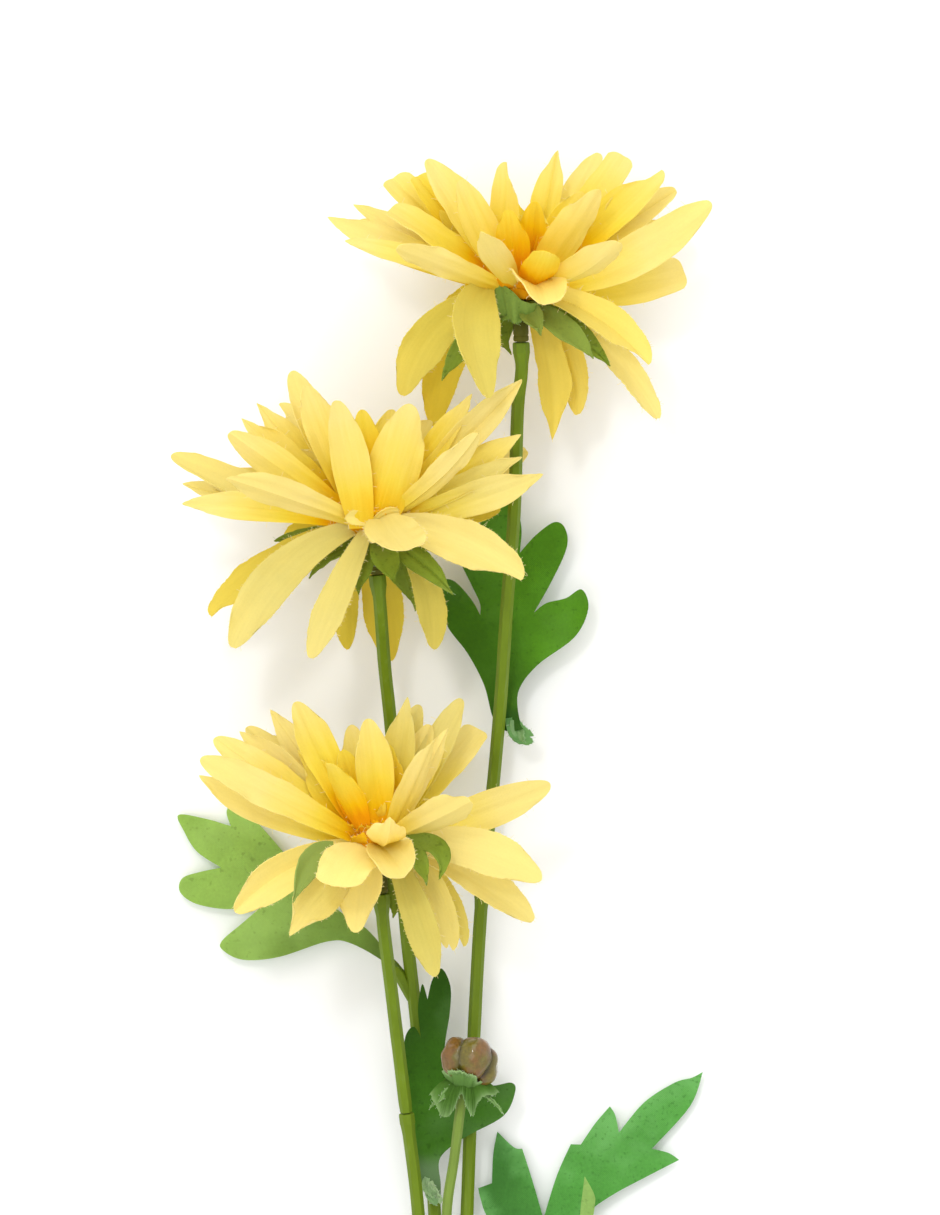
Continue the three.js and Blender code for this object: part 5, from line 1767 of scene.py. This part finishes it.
class DAISY_OT_leaves(bpy.types.Operator):
    """Build the lobed cloth leaves with their pressed veins and folded roots"""

    bl_idname = "daisy.leaves"
    bl_label = "Leaves"

    def execute(self, context):
        greens = context.scene.daisy_greens
        for name, leaf in LEAVES.items():
            material = leaf_finish(
                leaf["slot"].replace("_", " ") + " cloth", getattr(greens, leaf["slot"]),
                leaf["glow"], leaf["dull"], leaf["pale"], leaf.get("speckled", 0.5),
            )
            self.leaf(name, leaf, greens.cloth / MM, material)
        self.tabs(greens.cloth / MM)
        return {"FINISHED"}

    def tabs(self, thickness):
        """Torn scraps of pale cloth where two leaves are stuck on."""
        material = leaf_finish("torn cloth", (0.46, 0.60, 0.34), 0.3, (0.07, 0.27, 0.05))
        thread = thread_finish("scrap thread", (0.6, 0.68, 0.5))
        for name, scraps in TABS.items():
            chance = np.random.default_rng(len(name))
            cloth = Cloth()
            for *spots, width, tint in scraps:
                pose = pose_of(*places(spots), UP, width)
                outline = Outline(root=0.7, peak=0.5, end=0.8, dome=0.25, notch=0.2, middle=0.3)
                blade(cloth, pose, outline, thickness, pose["root"], chance, steps=20, cup=0.3,
                      ruffle=0.6, ragged=0.25, tint=tint)
            slot = LEAVES[name]["slot"]
            dress(cloth.finish(name + "_scrap", material), slot)
            fray(name + "_scrap_threads", cloth, slot, thread, 0.5 * MM, 0.8 * MM, 0.5, 5)

    def leaf(self, name, leaf, thickness, material):
        """Fills a leaf's outline with small triangles."""
        outline = leaf_outline(leaf)
        low, high = outline.min(axis=0), outline.max(axis=0)
        chance = np.random.default_rng(len(outline))
        grid = np.stack(np.meshgrid(
            np.arange(low[0], high[0], LEAF_CELL), np.arange(low[1], high[1], LEAF_CELL)), -1)
        grid = grid.reshape(-1, 2) + chance.uniform(-0.2, 0.2, (grid.size // 2, 2)) * LEAF_CELL
        grid = grid[inside(grid, outline)]
        grid = grid[distance_to_edge(grid, outline) > 0.45 * LEAF_CELL]
        flat = np.concatenate([outline, grid])
        ring = list(range(len(outline)))
        made = geometry.delaunay_2d_cdt([Vector(point) for point in flat], [], [ring], 1, 1e-5)
        flat = np.array([tuple(point) for point in made[0]])
        triangles = np.array([face for face in made[2] if len(face) == 3])
        self.thicken(name, leaf, flat, triangles, outline, thickness, material)

    def thicken(self, name, leaf, flat, triangles, outline, thickness, material):
        """Bends the flat leaf over its spine, presses its veins in and gives it two faces."""
        root, far = (np.array(point, float) for point in leaf["spine"])
        line = far - root
        span = np.linalg.norm(line)
        share = (flat - root) @ line / span ** 2
        aside = np.cross(flat - root, line) / span
        low, high, arch = leaf["height"]
        starts = np.array([root] + [root + line * vein[0] for vein in leaf["veins"]])
        ends = np.array([far] + [vein[1:] for vein in leaf["veins"]])
        vein = np.exp(-(distance_to_lines(flat, starts, ends) / 1.1) ** 2)
        wave = np.array([noise.noise(Vector((*(point * 0.09), span))) for point in flat])
        fold = smooth(-share, -leaf["fold"], -0.3 * leaf["fold"])
        height = low + (high - low) * share - arch * (aside / 20) ** 2
        height = height + 0.9 * wave * np.clip(distance_to_edge(flat, outline) / 3, 0, 1)
        height = height - 0.2 * vein + 0.5 * fold * np.minimum(np.abs(aside), 3.2)
        points = np.concatenate([
            np.column_stack([flat, height + side * thickness / 2]) for side in (1, -1)
        ])
        corners = flat[triangles]
        turn = np.cross(corners[:, 1] - corners[:, 0], corners[:, 2] - corners[:, 0])
        triangles = np.where(turn[:, None] > 0, triangles, triangles[:, ::-1]).tolist()
        count = len(flat)
        sides = {(face[k - 1], face[k]) for face in triangles for k in range(3)}
        rim = [(a, a + count, b + count, b) for a, b in sorted(sides) if (b, a) not in sides]
        under = [(a + count, c + count, b + count) for a, b, c in triangles]
        made = mesh_object(name + "_cloth", points, triangles + under + rim, material,
                           corner=CLOTH_CORNER)
        # Painted shade: deep is 1 at the leaf's first shade point and fades out by its second.
        dark, light = (np.array(point, float) for point in leaf["shade"])
        away = (flat - dark) @ (light - dark) / np.linalg.norm(light - dark) ** 2
        numbers = {"tint": fold, "vein": vein, "deep": 1 - smooth(away, 0, 1)}
        for label, values in numbers.items():
            add_numbers(made, label, np.tile(values, 2))
        add_cloth_map(made, np.tile(flat, (2, 1)))
        dress(made, leaf["slot"], name)


# Stage

class DAISY_OT_stage(bpy.types.Operator):
    """Set the pale table, the soft studio light and the camera that looks down on the spray"""

    bl_idname = "daisy.stage"
    bl_label = "Stage"

    def execute(self, context):
        stage = context.scene.daisy_stage
        self.table(stage)
        self.light(context, stage)
        self.camera(context, stage)
        context.scene.view_settings.view_transform = "Standard"
        return {"FINISHED"}

    def table(self, stage):
        far = TABLE_REACH
        corners = [(-far, -far, 0), (far, -far, 0), (far, far, 0), (-far, far, 0)]
        floor = mesh_object("table", corners, [(0, 1, 2, 3)], floor_finish(stage.floor))

    def light(self, context, stage):
        world = bpy.data.worlds.new("studio")
        world.use_nodes = True
        sky = world.node_tree.nodes["Background"]
        sky.inputs["Color"].default_value = (1, 1, 1, 1)
        sky.inputs["Strength"].default_value = stage.sky
        context.scene.world = world
        self.panel("key", (0.15, 1.15, 1.1), (0, 0.09, 0.03), 1.3, stage.key)
        self.panel("fill", (-0.45, -0.35, 1.6), (0, 0.05, 0.03), 1.4, stage.key)
        self.panel("glint", (-0.25, 0.5, 1.3), (0, 0.05, 0.03), 0.15, stage.key * 0.35)

    def panel(self, name, place, target, size, power):
        """A square soft light that faces a target, in metres."""
        lamp = bpy.data.lights.new(name, "AREA")
        lamp.shape = "SQUARE"
        lamp.size = size
        lamp.energy = power
        made = bpy.data.objects.new(name, lamp)
        made.location = place
        made.rotation_euler = (Vector(target) - Vector(place)).to_track_quat("-Z", "Y").to_euler()
        bpy.context.scene.collection.objects.link(made)

    def camera(self, context, stage):
        """Straight down on the blooms, framed as the image is."""
        wide, high = (size * PIXEL for size in IMAGE_SIZE)
        right, down = (pixel * PIXEL for pixel in ORIGIN_PIXEL)
        lens = bpy.data.cameras.new("camera")
        lens.sensor_fit = "VERTICAL"
        lens.sensor_height = 24
        lens.lens = lens.sensor_height * stage.camera_height / (high * MM)
        lens.clip_end = 20
        made = bpy.data.objects.new("camera", lens)
        made.location = Vector((wide / 2 - right, down - high / 2, BLOOM_LEVEL)) * MM
        made.location.z += stage.camera_height
        context.scene.collection.objects.link(made)
        context.scene.camera = made


class DAISY_PT_panel(bpy.types.Panel):
    """Lists the steps that dress the spray."""

    bl_idname = "DAISY_PT_panel"
    bl_label = "Daisy spray"
    bl_space_type = "VIEW_3D"
    bl_region_type = "UI"
    bl_category = "Daisy"

    def draw(self, context):
        for operator in OPERATORS:
            self.layout.operator(operator.bl_idname)
        for label in SETTINGS:
            box = self.layout.box()
            group = getattr(context.scene, label)
            for name in group.bl_rna.properties.keys():
                if name not in ("rna_type", "name"):
                    box.prop(group, name)


OPERATORS = (
    DAISY_OT_stage, DAISY_OT_petals, DAISY_OT_calyxes, DAISY_OT_pegs, DAISY_OT_stems,
    DAISY_OT_bud, DAISY_OT_leaves,
)
SETTINGS = {
    "daisy_petals": PetalSettings, "daisy_greens": GreenSettings, "daisy_stage": StageSettings,
}


def register():
    for group in SETTINGS.values():
        bpy.utils.register_class(group)
    for label, group in SETTINGS.items():
        setattr(bpy.types.Scene, label, bpy.props.PointerProperty(type=group))
    for operator in OPERATORS:
        bpy.utils.register_class(operator)
    bpy.utils.register_class(DAISY_PT_panel)


def unregister():
    bpy.utils.unregister_class(DAISY_PT_panel)
    for operator in reversed(OPERATORS):
        bpy.utils.unregister_class(operator)
    for label in SETTINGS:
        delattr(bpy.types.Scene, label)
    for group in reversed(SETTINGS.values()):
        bpy.utils.unregister_class(group)


def main():
    register()
    for operator in OPERATORS:
        section, name = operator.bl_idname.split(".")
        getattr(getattr(bpy.ops, section), name)()


if __name__ == "__main__":
    main()
